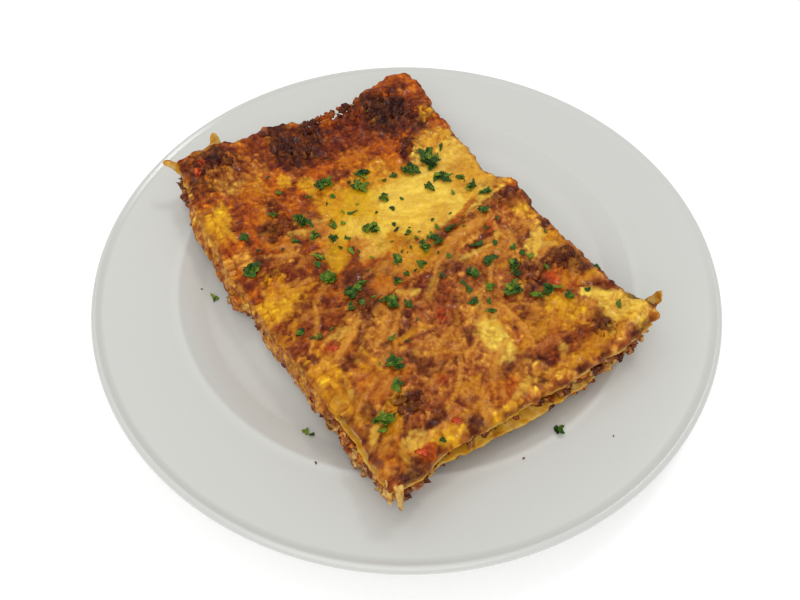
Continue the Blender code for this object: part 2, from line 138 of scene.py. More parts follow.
def fractal(a: Array, b: Array, size: float, octaves: int = 3, seed: int = 0,
            height: Array | float = 0.0) -> Array:
    """Sums octaves of lattice noise, each half as large and half as high as the one before.

    Args:
        a: first coordinate.
        b: second coordinate.
        size: width of the largest lumps, in the units of the coordinates.
        octaves: how many sizes are summed.
        seed: picks the pattern.
        height: third coordinate.

    Returns:
        Values from about -1 to 1.
    """
    flat = np.stack(np.broadcast_arrays(a, b, height), -1).reshape(-1, 3) / size
    total = np.zeros(len(flat))
    for octave in range(octaves):
        total += lattice_noise(flat * 2.0**octave + 17.0 * octave, seed + octave) * 0.5**octave
    return (total / 1.5).reshape(np.shape(np.asarray(a) + np.asarray(b)))


def grains(a: Array, b: Array, size: float, seed: int = 0,
           height: Array | float = 0.0) -> tuple[Array, Array]:
    """Packs rounded grains: one random seed point to a cell, and each place belongs to the nearest.

    Args:
        a: first coordinate.
        b: second coordinate.
        size: mean width of a grain.
        seed: picks the pattern.
        height: third coordinate.

    Returns:
        A dome for each place, 1 at its grain's middle and 0 about half a width away, and the grain's own
        random number from 0 to 1.
    """
    flat = np.stack(np.broadcast_arrays(a, b, height), -1).reshape(-1, 3) / size
    cell = np.floor(flat).astype(np.int64)
    nearest = np.full(len(flat), 9.0)
    number = np.zeros(len(flat))
    for offset in np.ndindex(3, 3, 3):
        key = cell + np.array(offset) - 1
        mixed = scramble(key, seed * 40503, 11, 2246822519)
        jitter = np.stack([mixed & 1023, (mixed >> 10) & 1023, (mixed >> 20) & 1023], -1) / 1023.0
        distance = np.linalg.norm(key + jitter - flat, axis=1)
        closer = distance < nearest
        number = np.where(closer, ((mixed >> 5) & 4095) / 4095.0, number)
        nearest = np.where(closer, distance, nearest)
    shape = np.shape(np.asarray(a) + np.asarray(b))
    dome = np.sqrt(np.clip(1.0 - (nearest / 0.75) ** 2, 0.0, 1.0))
    return dome.reshape(shape), number.reshape(shape)


def between(stations: tuple[tuple[float, float], ...], place: Array) -> Array:
    """Reads values off rising (place, value) stations, with a soft curve from each to the next."""
    at = np.array([station[0] for station in stations])
    value = np.array([station[1] for station in stations])
    index = np.clip(np.searchsorted(at, place) - 1, 0, len(at) - 2)
    share = np.clip((place - at[index]) / (at[index + 1] - at[index]), 0.0, 1.0)
    return value[index] + (value[index + 1] - value[index]) * share * share * (3.0 - 2.0 * share)


def ring_faces(rings: int, count: int, flip: bool = False) -> Array:
    """Joins rings of count points, each to the next, with faces of four corners; flip turns them over."""
    here = np.arange(count)
    after = (here + 1) % count
    row = np.arange(rings - 1)[:, None] * count
    corners = (row + here, row + count + here, row + count + after, row + after)
    order = (0, 3, 2, 1) if flip else (0, 1, 2, 3)
    return np.stack([corners[k] for k in order], -1).reshape(-1, 4)


def fan_faces(hub: int, start: int, count: int, flip: bool = False) -> Array:
    """Joins a ring of count points, numbered from start, to its hub with triangles; flip turns them over."""
    here = start + np.arange(count)
    after = np.roll(here, -1)
    return np.stack([np.full(count, hub), *((after, here) if flip else (here, after))], 1)


def grid_faces(number: Array) -> Array:
    """Makes a face of each cell of a grid of point numbers."""
    corners = (number[:-1, :-1], number[1:, :-1], number[1:, 1:], number[:-1, 1:])
    return np.stack(corners, -1).reshape(-1, 4)


def make_object(name: str, points: Array, faces: list[Array], finish: bpy.types.Material) -> bpy.types.Object:
    """Makes a smooth mesh object at the origin from arrays.

    Args:
        name: the object's name.
        points: one row of x, y and z for each point.
        faces: arrays of point numbers, one row to a face; each array has one number of corners.
        finish: the material.

    Returns:
        The new object.
    """
    corners = np.concatenate([array.reshape(-1) for array in faces])
    counts = np.concatenate([np.full(len(array), array.shape[1]) for array in faces])
    starts = np.concatenate([[0], np.cumsum(counts)[:-1]])
    mesh = bpy.data.meshes.new(name)
    mesh.vertices.add(len(points))
    mesh.vertices.foreach_set("co", np.ascontiguousarray(points, np.float32).reshape(-1))
    mesh.loops.add(len(corners))
    mesh.loops.foreach_set("vertex_index", corners.astype(np.int32))
    mesh.polygons.add(len(counts))
    mesh.polygons.foreach_set("loop_start", starts.astype(np.int32))
    mesh.update(calc_edges=True)
    mesh.validate()
    mesh.shade_smooth()
    mesh.materials.append(finish)
    made = bpy.data.objects.new(name, mesh)
    bpy.context.scene.collection.objects.link(made)
    return made


def paint(piece: bpy.types.Object, name: str, values: Array) -> None:
    """Stores one number or one colour for each point of a piece as a named attribute."""
    if values.ndim == 1:
        layer = piece.data.attributes.new(name, "FLOAT", "POINT")
        layer.data.foreach_set("value", values.astype(np.float32))
        return
    layer = piece.data.color_attributes.new(name, "FLOAT_COLOR", "POINT")
    full = np.concatenate([values, np.ones((len(values), 1))], 1)
    layer.data.foreach_set("color", full.astype(np.float32).reshape(-1))


def settle(piece: bpy.types.Object, slot: str, *nodes: str) -> None:
    """Puts a finished piece on the one body, in place of the CAD nodes it stands for."""
    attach(piece, "root")
    if nodes:
        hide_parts(*nodes)
    LOG.info("%s: %d points", piece.name, len(piece.data.vertices))


# Shader helpers and finishes


def feed(tree: bpy.types.NodeTree, node: bpy.types.Node, inputs: dict) -> None:
    """Fills a shader node's inputs, by label or number, with sockets to link from or with values."""
    for label, value in inputs.items():
        if isinstance(value, bpy.types.NodeSocket):
            tree.links.new(value, node.inputs[label])
        else:
            node.inputs[label].default_value = value


def add_node(tree: bpy.types.NodeTree, kind: str, inputs: dict | None = None,
             **settings: object) -> bpy.types.Node:
    """Adds a shader node of a kind to a tree, sets its properties and then fills its inputs."""
    node = tree.nodes.new(kind)
    for label, value in settings.items():
        setattr(node, label, value)
    feed(tree, node, inputs or {})
    return node


def new_material(name: str) -> bpy.types.Material:
    """Starts a material with a Principled BSDF."""
    made = bpy.data.materials.new(name)
    made.use_nodes = True
    return made


def new_group(name: str, inputs: dict[str, tuple[str, float]], outputs: dict[str, str]) -> bpy.types.NodeTree:
    """Starts a shader node group: a type and a value for each input, and a type for each output."""
    group = bpy.data.node_groups.new(name, "ShaderNodeTree")
    for label, (kind, value) in inputs.items():
        socket = group.interface.new_socket(label, in_out="INPUT", socket_type=kind)
        socket.default_value = value
    for label, kind in outputs.items():
        group.interface.new_socket(label, in_out="OUTPUT", socket_type=kind)
    group.nodes.new("NodeGroupInput").name = "in"
    group.nodes.new("NodeGroupOutput").name = "out"
    return group


def grain_group() -> bpy.types.NodeTree:
    """Builds the grain that the baked and cooked surfaces share.

    Soft noise less small rounded cells comes out as a height and, spread round 1, as an exponent: low
    spots get more than 1, which makes a colour deeper and browner. That is partly browning and partly
    painted shade in the low spots of the same height that drives the bump.

    Returns:
        The node group.
    """
    group = new_group(
        "food_grain",
        {"Size": ("NodeSocketFloat", 400.0), "Cells": ("NodeSocketFloat", 0.5),
         "Contrast": ("NodeSocketFloat", 0.3)},
        {"Browning_and_shade": "NodeSocketFloat", "Height": "NodeSocketFloat"},
    )
    given = group.nodes["in"].outputs
    mean_height = 0.40
    place = add_node(group, "ShaderNodeTexCoord").outputs["Object"]
    spread = {"Vector": place, "Scale": given["Size"]}
    noise = add_node(group, "ShaderNodeTexNoise", {**spread, "Detail": 3.0, "Roughness": 0.5}).outputs["Fac"]
    cells = add_node(group, "ShaderNodeTexVoronoi", spread, feature="SMOOTH_F1").outputs["Distance"]
    lump = add_node(group, "ShaderNodeMath", {0: cells, 1: given["Cells"]}, operation="MULTIPLY")
    height = add_node(group, "ShaderNodeMath", {0: noise, 1: lump.outputs[0]}, operation="SUBTRACT")
    # Low spots of the height come out darker: partly browning, partly painted shade.
    centred = add_node(group, "ShaderNodeMath", {0: mean_height, 1: height.outputs[0]}, operation="SUBTRACT")
    shade = add_node(group, "ShaderNodeMath", {0: centred.outputs[0], 1: given["Contrast"], 2: 1.0},
                     operation="MULTIPLY_ADD")
    feed(group, group.nodes["out"], {"Browning_and_shade": shade.outputs[0], "Height": height.outputs[0]})
    return group


@dataclass(frozen=True)
class FoodFinish:
    """Finish of a food surface: a painted colour with grain, a bump and a wet or dry gloss.

    The colour is read from the attribute tint, and the gloss from the attribute wet, from 0 to 1. Above
    oil_from a wet place also has a film of oil, up to a coat of the weight oil.
    """

    name: str
    grain_size: float = 400.0
    cells: float = 0.5
    contrast: float = 0.5
    bump: float = 0.5
    bump_depth: float = 0.0004
    dry: float = 0.6
    wet: float = 0.25
    soft: float = 0.0
    gloss: float = 0.14
    oil: float = 0.5
    oil_from: float = 0.55

    def make(self, grain: bpy.types.NodeTree) -> bpy.types.Material:
        """Builds the material round the shared grain group."""
        made = new_material(self.name)
        tree = made.node_tree
        tint = add_node(tree, "ShaderNodeAttribute", attribute_name="tint").outputs["Color"]
        wet = add_node(tree, "ShaderNodeAttribute", attribute_name="wet").outputs["Fac"]
        shape = {"Size": self.grain_size, "Cells": self.cells, "Contrast": self.contrast}
        food = add_node(tree, "ShaderNodeGroup", shape, node_tree=grain)
        # The grain's exponent darkens the tint in the bump's low spots: partly browning, partly painted shade.
        colour = add_node(tree, "ShaderNodeGamma", {"Color": tint, "Gamma": food.outputs["Browning_and_shade"]})
        rough = add_node(tree, "ShaderNodeMapRange", {"Value": wet, "To Min": self.dry, "To Max": self.wet})
        film = add_node(tree, "ShaderNodeMapRange",
                        {"Value": wet, "From Min": self.oil_from, "To Max": self.oil})
        height = food.outputs["Height"]
        bump = add_node(tree, "ShaderNodeBump",
                        {"Height": height, "Strength": self.bump, "Distance": self.bump_depth})
        inputs = {"Base Color": colour.outputs[0], "Roughness": rough.outputs[0],
                  "Normal": bump.outputs["Normal"], "Specular IOR Level": self.gloss,
                  "Coat Weight": film.outputs[0], "Coat Roughness": 0.12}
        if self.soft:
            inputs.update({"Subsurface Weight": self.soft, "Subsurface Radius": (1.0, 0.5, 0.2),
                           "Subsurface Scale": 0.0015})
        feed(tree, tree.nodes["Principled BSDF"], inputs)
        return made


@dataclass(frozen=True)
class Porcelain:
    """White glaze: even and glossy, faintly wavy, and bare and rougher under the foot."""

    colour: tuple[float, float, float] = (206, 207, 202)
    roughness: float = 0.2
    foot_roughness: float = 0.7

    def make(self) -> bpy.types.Material:
        """Builds the material, whose foot ring is picked out by its height above the table."""
        made = new_material("white_glaze")
        tree = made.node_tree
        white = to_linear(self.colour)
        place = add_node(tree, "ShaderNodeTexCoord").outputs["Object"]
        noise = add_node(tree, "ShaderNodeTexNoise", {"Vector": place, "Scale": 22.0, "Detail": 3.0})
        wave = noise.outputs["Fac"]
        shade = add_node(tree, "ShaderNodeMixRGB", {0: wave, 1: (*white * 0.985, 1.0), 2: (*white, 1.0)})
        height = add_node(tree, "ShaderNodeSeparateXYZ", {0: place}).outputs["Z"]
        foot = add_node(tree, "ShaderNodeMapRange", {"Value": height, "From Min": 0.0006, "From Max": 0.0002,
                                                     "To Min": self.roughness, "To Max": self.foot_roughness})
        bump = add_node(tree, "ShaderNodeBump", {"Height": wave, "Strength": 0.15, "Distance": 0.0004})
        feed(tree, tree.nodes["Principled BSDF"],
             {"Base Color": shade.outputs[0], "Roughness": foot.outputs[0], "Normal": bump.outputs["Normal"]})
        return made


# The plate


@dataclass
class Plate:
    """Round dinner plate with a flat well, a sharp ridge, a broad rim and a rounded lip."""

    radius: float = 0.135
    lip_height: float = 0.0225
    lip_radius: float = 0.0019
    ridge_radius: float = 0.1018
    ridge_height: float = 0.0152
    wall_foot_radius: float = 0.086
    well_height: float = 0.0065
    rim_thickness: float = 0.0040
    floor_thickness: float = 0.0048
    foot_radius: float = 0.0790
    foot_width: float = 0.0042
    turns: int = 288

    def profile(self) -> Array:
        """Works out half the outline, from the middle of the top over the lip to the middle of the underside.

        The wall rises from the well along a parabola and ends under the ridge, and the lip is an arc.

        Returns:
            Rows of radius and height.
        """
        slope = (self.lip_height - self.ridge_height) / (self.radius - self.ridge_radius)
        under = self.well_height - self.floor_thickness
        foot_start = self.wall_foot_radius - 0.010
        share = np.linspace(0.0, 1.0, 12)
        well = np.stack([np.linspace(0.001, foot_start, 30), np.full(30, self.well_height)], 1)
        curve = np.stack([foot_start + 0.015 * share, self.well_height + 0.0030 * share**2], 1)[1:]
        wall_end = np.array([self.ridge_radius - 0.0014, self.ridge_height - 0.0006])
        wall = curve[-1] + (wall_end - curve[-1]) * share[1:, None]
        ridge = np.array([[self.ridge_radius - 0.0006, self.ridge_height - 0.00015],
                          [self.ridge_radius, self.ridge_height - 0.00002],
                          [self.ridge_radius + 0.0008, self.ridge_height + 0.0001]])
        rim_r = np.linspace(self.ridge_radius + 0.002, self.radius - 0.0032, 16)
        rim = np.stack([rim_r, self.ridge_height + slope * (rim_r - self.ridge_radius) - 0.0002], 1)
        angle = np.radians(np.linspace(105.0, -105.0, 15))
        lip = np.stack([self.radius - self.lip_radius + self.lip_radius * np.cos(angle),
                        self.lip_height - self.lip_radius + self.lip_radius * np.sin(angle)], 1)
        low_rim_r = np.linspace(self.radius - 0.006, self.ridge_radius + 0.002, 8)
        low_rim = np.stack([low_rim_r, self.ridge_height + slope * (low_rim_r - self.ridge_radius)
                            - self.rim_thickness + 0.0006], 1)
        foot = self.foot_radius
        inner = foot - self.foot_width
        base = np.array([[self.wall_foot_radius + 0.004, under + 0.0022], [foot + 0.0012, under + 0.0001],
                         [foot + 0.0003, 0.0004], [foot, 0.0], [inner, 0.0], [inner - 0.0003, 0.0004],
                         [inner - 0.0012, under], [0.001, under]])
        return np.concatenate([well, curve, wall, ridge, rim, lip, low_rim, base])

    def top(self, radius: Array) -> Array:
        """Height of the plate's upper face at a distance from its axis."""
        outline = self.profile()
        upper = outline[:int(np.argmax(outline[:, 1])) + 1]
        return np.interp(radius, upper[:, 0], upper[:, 1])

    def build(self, glaze: bpy.types.Material) -> bpy.types.Object:
        """Turns the profile round the Z axis and closes its two ends at the axis."""
        outline = self.profile()
        angle = np.arange(self.turns) * 2.0 * np.pi / self.turns
        radius, height = outline[:, :1], outline[:, 1:]
        turned = [radius * np.cos(angle), radius * np.sin(angle), height + 0.0 * angle]
        shell = np.stack(turned, -1).reshape(-1, 3)
        ends = np.array([[0.0, 0.0, outline[0, 1]], [0.0, 0.0, outline[-1, 1]]])
        count = len(shell)
        faces = [ring_faces(len(outline), self.turns), fan_faces(count, 0, self.turns),
                 fan_faces(count + 1, count - self.turns, self.turns, True)]
        plate = make_object("dinner_plate", np.concatenate([shell, ends]), faces, glaze)
        settle(plate, "porcelain", "plate")
        return plate


# The stack's shape


@dataclass(frozen=True)
class Bulge:
    """A place where a side of a layer reaches out."""

    side: int
    place: float
    width: float
    reach: float


LEFT, RIGHT, FRONT, BACK = range(4)


@dataclass
class SliceForm:
    """Place, outline and bend of the slice, which every layer shares."""

    x: float = -0.0041
    y: float = -0.0058
    turn: float = math.radians(33.2)
    half_a: float = 0.0610
    half_b: float = 0.0895
    well_height: float = 0.0065
    gap: float = 0.0003
    bend_radius: float = 0.0760
    bend_slope: float = 0.36
    bend_softness: float = 0.0026
    droop_radius: float = 0.1040
    droop_slope: float = 0.12
    droop_softness: float = 0.0005
    brow: float = 0.0372
    ceiling: float = 0.0396
    front: tuple = ((-0.061, 0.0000), (-0.050, 0.0010), (-0.038, -0.0025), (-0.020, -0.0020), (0.0, -0.0010),
                    (0.030, 0.0005), (0.048, 0.0010), (0.061, -0.0005))
    back: tuple = ((-0.061, 0.0025), (-0.050, 0.0050), (-0.040, 0.0058), (-0.028, 0.0036), (-0.015, 0.0065),
                   (0.000, 0.0032), (0.010, -0.0020), (0.022, -0.0036), (0.030, -0.0024), (0.038, 0.0038),
                   (0.052, 0.0050), (0.061, 0.0036))
    right: tuple = ((-0.090, 0.0000), (-0.082, 0.0018), (-0.074, 0.0015), (-0.064, 0.0018), (-0.050, 0.0038),
                    (-0.036, 0.0048), (-0.018, 0.0052), (-0.004, 0.0068), (0.006, 0.0088), (0.014, 0.0040),
                    (0.020, 0.0015), (0.032, 0.0045), (0.060, 0.0050), (0.080, 0.0068), (0.090, 0.0052))
    left: tuple = ((-0.090, 0.0000), (-0.065, -0.0025), (-0.040, -0.0012), (-0.022, 0.0006), (-0.010, 0.0015),
                   (0.020, 0.0030), (0.045, 0.0020), (0.070, 0.0010), (0.090, -0.0005))
    left_slump: tuple = (
        (-0.090, 0.0002), (-0.066, 0.0055), (-0.045, 0.0045), (-0.025, 0.0032), (-0.010, 0.0036),
        (0.004, 0.0030), (0.012, 0.0012), (0.019, 0.0052), (0.040, 0.0055), (0.062, 0.0065), (0.078, 0.0050),
        (0.090, 0.0036))

    def to_plate(self, a: Array, b: Array) -> tuple[Array, Array]:
        """Turns slice places into x and y."""
        c, s = math.cos(self.turn), math.sin(self.turn)
        return self.x + a * c - b * s, self.y + a * s + b * c

    def bend(self, a: Array, b: Array) -> Array:
        """Height of the stack's underside: level over the well, then a soft ramp, flatter past the ridge."""
        x, y = self.to_plate(a, b)
        radius = np.hypot(x, y)
        rise = self.soft_ramp(radius - self.bend_radius, self.bend_slope, self.bend_softness)
        droop = self.soft_ramp(radius - self.droop_radius, self.droop_slope, self.droop_softness)
        return self.well_height + self.gap + rise - droop

    @staticmethod
    def soft_ramp(distance: Array, slope: float, softness: float) -> Array:
        """Rises at the slope past distance 0: softness times log(1 + exp(slope d / softness))."""
        return softness * np.logaddexp(0.0, slope * distance / softness)

    def outline(self, s: Array, t: Array, trim: float,
                sway: Callable[[int, Array], Array]) -> tuple[Array, Array]:
        """Maps the square from -1 to 1 to a and b; each side is moved by its table and sway, less trim."""
        a0, b0 = s * self.half_a, t * self.half_b
        right, left = between(self.right, b0) + sway(RIGHT, b0), between(self.left, b0) + sway(LEFT, b0)
        back, front = between(self.back, a0) + sway(BACK, a0), between(self.front, a0) + sway(FRONT, a0)
        side, end = np.where(s > 0, right, left), np.where(t > 0, back, front)
        return a0 + (side - trim) * s**3, b0 + (end - trim) * t**3

    def place(self, a: Array, b: Array, height: Array) -> Array:
        """Puts points at a, b and a height above the bent underside, softly kept below the ceiling."""
        x, y = self.to_plate(a, b)
        z = self.bend(a, b) + height
        over = np.clip(z - self.brow, 0.0, None)
        room = self.ceiling - self.brow
        z = np.minimum(z, self.brow) + room * (1.0 - np.exp(-over / room))
        return np.stack([x, y, z], -1)


@dataclass
class SlabGrid:
    """Points and faces of a closed slab: a top, a side of many rings and an underside.

    The rings run round the border of a grid of cells. A face of the slab may be cut as fine as the border
    or coarser: then thin fans close the slits between the border and the coarse cells' straight edges.
    """

    cells_a: int = 216
    cells_b: int = 320
    coarse: int = 8

    @property
    def around(self) -> int:
        """Points in one ring."""
        return 2 * (self.cells_a + self.cells_b)

    def ring(self) -> tuple[Array, Array]:
        """Gives s and t of the border's points, counter-clockwise seen from above."""
        na, nb = self.cells_a, self.cells_b
        up, along = np.arange(na) * 2.0 / na - 1.0, np.arange(nb) * 2.0 / nb - 1.0
        s = np.concatenate([up, np.ones(nb), -up, -np.ones(nb)])
        t = np.concatenate([-np.ones(na), along, np.ones(na), -along])
        return s, t

    def inside(self, step: int) -> tuple[Array, Array]:
        """Gives s and t of the grid's inner points, cut every step cells."""
        s = np.linspace(-1.0, 1.0, self.cells_a // step + 1)[1:-1]
        t = np.linspace(-1.0, 1.0, self.cells_b // step + 1)[1:-1]
        mesh_s, mesh_t = np.meshgrid(s, t, indexing="ij")
        return mesh_s.reshape(-1), mesh_t.reshape(-1)

    def cap(self, ring_start: int, inner_start: int, step: int, up: bool) -> list[Array]:
        """Joins a ring to the inner points of one face of the slab.

        Args:
            ring_start: number of the ring's first point.
            inner_start: number of the first inner point.
            step: how many border cells one face cell spans.
            up: whether the faces look up.

        Returns:
            Arrays of faces.
        """
        na, nb = self.cells_a // step, self.cells_b // step
        number = np.zeros((na + 1, nb + 1), np.int64)
        number[1:-1, 1:-1] = inner_start + np.arange((na - 1) * (nb - 1)).reshape(na - 1, nb - 1)
        ring = ring_start + np.arange(self.around)
        side_a, side_b = self.cells_a, self.cells_b
        number[:, 0] = ring[0:side_a + 1:step]
        number[na, :] = ring[side_a:side_a + side_b + 1:step]
        number[::-1, nb] = ring[side_a + side_b:2 * side_a + side_b + 1:step]
        number[0, ::-1] = np.append(ring[2 * side_a + side_b::step], ring[0])
        quads = grid_faces(number)
        faces = [quads if up else quads[:, ::-1]]
        if step > 1:
            fans = np.stack([np.roll(ring, -shift)[::step] for shift in range(step + 1)], 1)
            faces.append(fans if up else fans[:, ::-1])
        return faces

    def faces(self, rings: int, top_step: int) -> list[Array]:
        """Lists every face for rings that run from the top's border down to the underside's.

        Args:
            rings: how many rings there are.
            top_step: how many border cells one cell of the top spans.

        Returns:
            Arrays of faces; the points are the rings, the top's inner points and the underside's.
        """
        inner = rings * self.around
        inner_top = (self.cells_a // top_step - 1) * (self.cells_b // top_step - 1)
        top = self.cap(0, inner, top_step, True)
        bottom = self.cap((rings - 1) * self.around, inner + inner_top, self.coarse, False)
        return [ring_faces(rings, self.around), *top, *bottom]


class Side(Enum):
    """How the cut side of a layer looks."""

    PASTA = "smooth cut sheet that waves a little"
    MINCE = "packed crumbs of mince in sauce"
    CREAM = "soft sauce that has run a little"


@dataclass
class Layer:
    """One layer under the crust, whose middle is hidden and whose side shows."""

    node: str
    low: float
    thickness: float
    trim: float
    sway_height: float
    sway_size: float
    seed: int
    side: Side
    slump: float
    bulges: tuple[Bulge, ...] = ()
    rings: int = 22
    inset: float = 0.006

    @property
    def torn(self) -> float:
        """How deep the notches in the layer's edge are."""
        return 0.0018 if self.side is Side.PASTA else 0.0012

    def sway(self, side: int, place: Array) -> Array:
        """How far a side of the layer reaches out along it: noise, slump, notches and that side's bulges."""
        row = np.full_like(place, 7.0 * side)
        reach = self.sway_height * fractal(place, row, self.sway_size, 2, self.seed)
        if side == LEFT:
            reach = reach + self.slump * between(SliceForm.left_slump, place)
        torn = fractal(place, np.full_like(place, 3.0 * side), 0.018, 3, self.seed + 40)
        reach = reach - self.torn * smooth(0.0, 0.45, torn)
        for bulge in self.bulges:
            if bulge.side == side:
                reach = reach + bulge.reach * np.exp(-(((place - bulge.place) / bulge.width) ** 2))
        return reach

    def build(self, form: SliceForm, grid: SlabGrid, finish: bpy.types.Material, slot: str,
              tips: list[tuple[Array, list[Array]]] | None = None) -> bpy.types.Object:
        """Builds the layer: rings over the rounded, displaced side, two coarse faces, and any loose tips."""
        s, t = grid.ring()
        angle = np.linspace(np.pi / 2.0, -np.pi / 2.0, self.rings - 2)
        round_off = 0.5 * self.thickness * (1.0 - np.cos(angle) ** 0.6)
        inset = np.concatenate([[self.inset], round_off, [self.inset]])[:, None]
        level = np.concatenate([[1.0], 0.5 + 0.5 * np.sin(angle), [0.0]])[:, None]
        shown = np.concatenate([[0.0], np.cos(angle) ** 0.5, [0.0]])[:, None]
        ring_s, ring_t = s * (1.0 - inset / form.half_a), t * (1.0 - inset / form.half_b)
        a, b = form.outline(ring_s, ring_t, self.trim, self.sway)
        out_a, out_b = self.outward(a, b)
        height = self.low + self.thickness * level
        push, lift, tint, wet = self.dress(a, b, height)
        a, b, height = a + out_a * push * shown, b + out_b * push * shown, height + lift * shown
        rim = form.place(a, b, height).reshape(-1, 3)
        cap_s, cap_t = grid.inside(grid.coarse)
        scale_a, scale_b = 1.0 - self.inset / form.half_a, 1.0 - self.inset / form.half_b
        cap_a, cap_b = form.outline(cap_s * scale_a, cap_t * scale_b, self.trim, self.sway)
        top = form.place(cap_a, cap_b, np.full_like(cap_a, self.low + self.thickness))
        bottom = form.place(cap_a, cap_b, np.full_like(cap_a, self.low))
        points = [np.concatenate([rim, top, bottom])]
        faces = grid.faces(self.rings, grid.coarse)
        middle = np.tile(tint.reshape(-1, 3).mean(0), (2 * len(cap_a), 1))
        tints = [np.concatenate([tint.reshape(-1, 3), middle])]
        for tip_points, tip_faces in tips or []:
            start = sum(len(part) for part in points)
            points.append(tip_points)
            faces.extend(face + start for face in tip_faces)
            tints.append(Ribbon.tint(tip_points))
        all_points = np.concatenate(points)
        made = make_object(f"{self.node}_layer", all_points, faces, finish)
        paint(made, "tint", np.concatenate(tints))
        paint(made, "wet", np.full(len(all_points), wet))
        settle(made, slot, self.node)
        return made

    @staticmethod
    def outward(a: Array, b: Array) -> tuple[Array, Array]:
        """Unit directions that point out of the slice, square to each ring's run."""
        run_a = np.roll(a, -3, axis=1) - np.roll(a, 3, axis=1)
        run_b = np.roll(b, -3, axis=1) - np.roll(b, 3, axis=1)
        length = np.hypot(run_a, run_b) + 1e-9
        return run_b / length, -run_a / length

    def dress(self, a: Array, b: Array, height: Array) -> tuple[Array, Array, Array, float]:
        """Works out relief and colour of the side.

        Args:
            a: ring places along the short side.
            b: ring places along the long side.
            height: ring heights.

        Returns:
            How far each point is pushed out and lifted, its colour, and the layer's wetness.
        """
        a, b, height = np.broadcast_arrays(a, b, height)
        if self.side is Side.PASTA:
            wave = fractal(a, b, 0.014, 2, self.seed + 20)
            push = 0.0008 * fractal(a, b, 0.004, 3, self.seed + 21)
            pale = smooth(-0.2, 0.5, fractal(a, b, 0.012, 3, self.seed + 22))[..., None]
            tint = SHEET.linear * (1.0 - pale) + to_linear((208, 168, 84)) * pale
            toast = fractal(a, b, 0.006, 4, self.seed + 23)
            tint = browned(tint.reshape(-1, 3), (0.9 * smooth(0.10, 0.6, toast) + 0.2 * toast).reshape(-1))
            return push, 0.0008 * wave, tint.reshape(*a.shape, 3), 0.6
        if self.side is Side.CREAM:
            push = 0.0012 * fractal(a, b, 0.008, 3, self.seed + 20, height)
            mix = smooth(-0.3, 0.4, fractal(a, b, 0.007, 3, self.seed + 22, height))[..., None]
            tint = to_linear((196, 146, 84)) * (1.0 - mix) + ROSE.linear * mix
            return push, 0.0004 * fractal(a, b, 0.010, 2, self.seed + 24), tint, 0.7
        warp = 0.0012 * fractal(a, b, 0.004, 2, self.seed + 25, height)
        dome, number = grains(a + warp, b - warp, 0.0036, self.seed + 20, height)
        fine, _ = grains(a - warp, b + warp, 0.0016, self.seed + 21, height)
        push = 0.0016 * (dome - 0.45) + 0.0006 * fine
        push = push + 0.0010 * fractal(a, b, 0.007, 2, self.seed + 22, height)
        tones = ((104, 52, 28), (150, 78, 34), (168, 108, 62), (204, 158, 96), (196, 112, 32), (112, 60, 34))
        meat = np.stack([np.interp(number, np.linspace(0.0, 1.0, 6), [to_linear(tone)[k] for tone in tones])
                         for k in range(3)], -1)
        # Painted shade between the crumbs: each grain grows darker towards its edge and paler at its middle.
        amount = 0.8 * (0.75 - dome) + 0.5 * fractal(a, b, 0.0022, 3, self.seed + 26, height)
        return push, 0.0 * push, browned(meat.reshape(-1, 3), amount.reshape(-1)).reshape(*a.shape, 3), 0.8


# The crust


@dataclass(frozen=True)
class Stain:
    """A patch of colour on the crust, in millimetres: place, half sizes and turn from b towards a."""

    tone: Tone
    b: float
    a: float
    half_b: float
    half_a: float
    turn: float = 0.0
    cover: float = 0.85


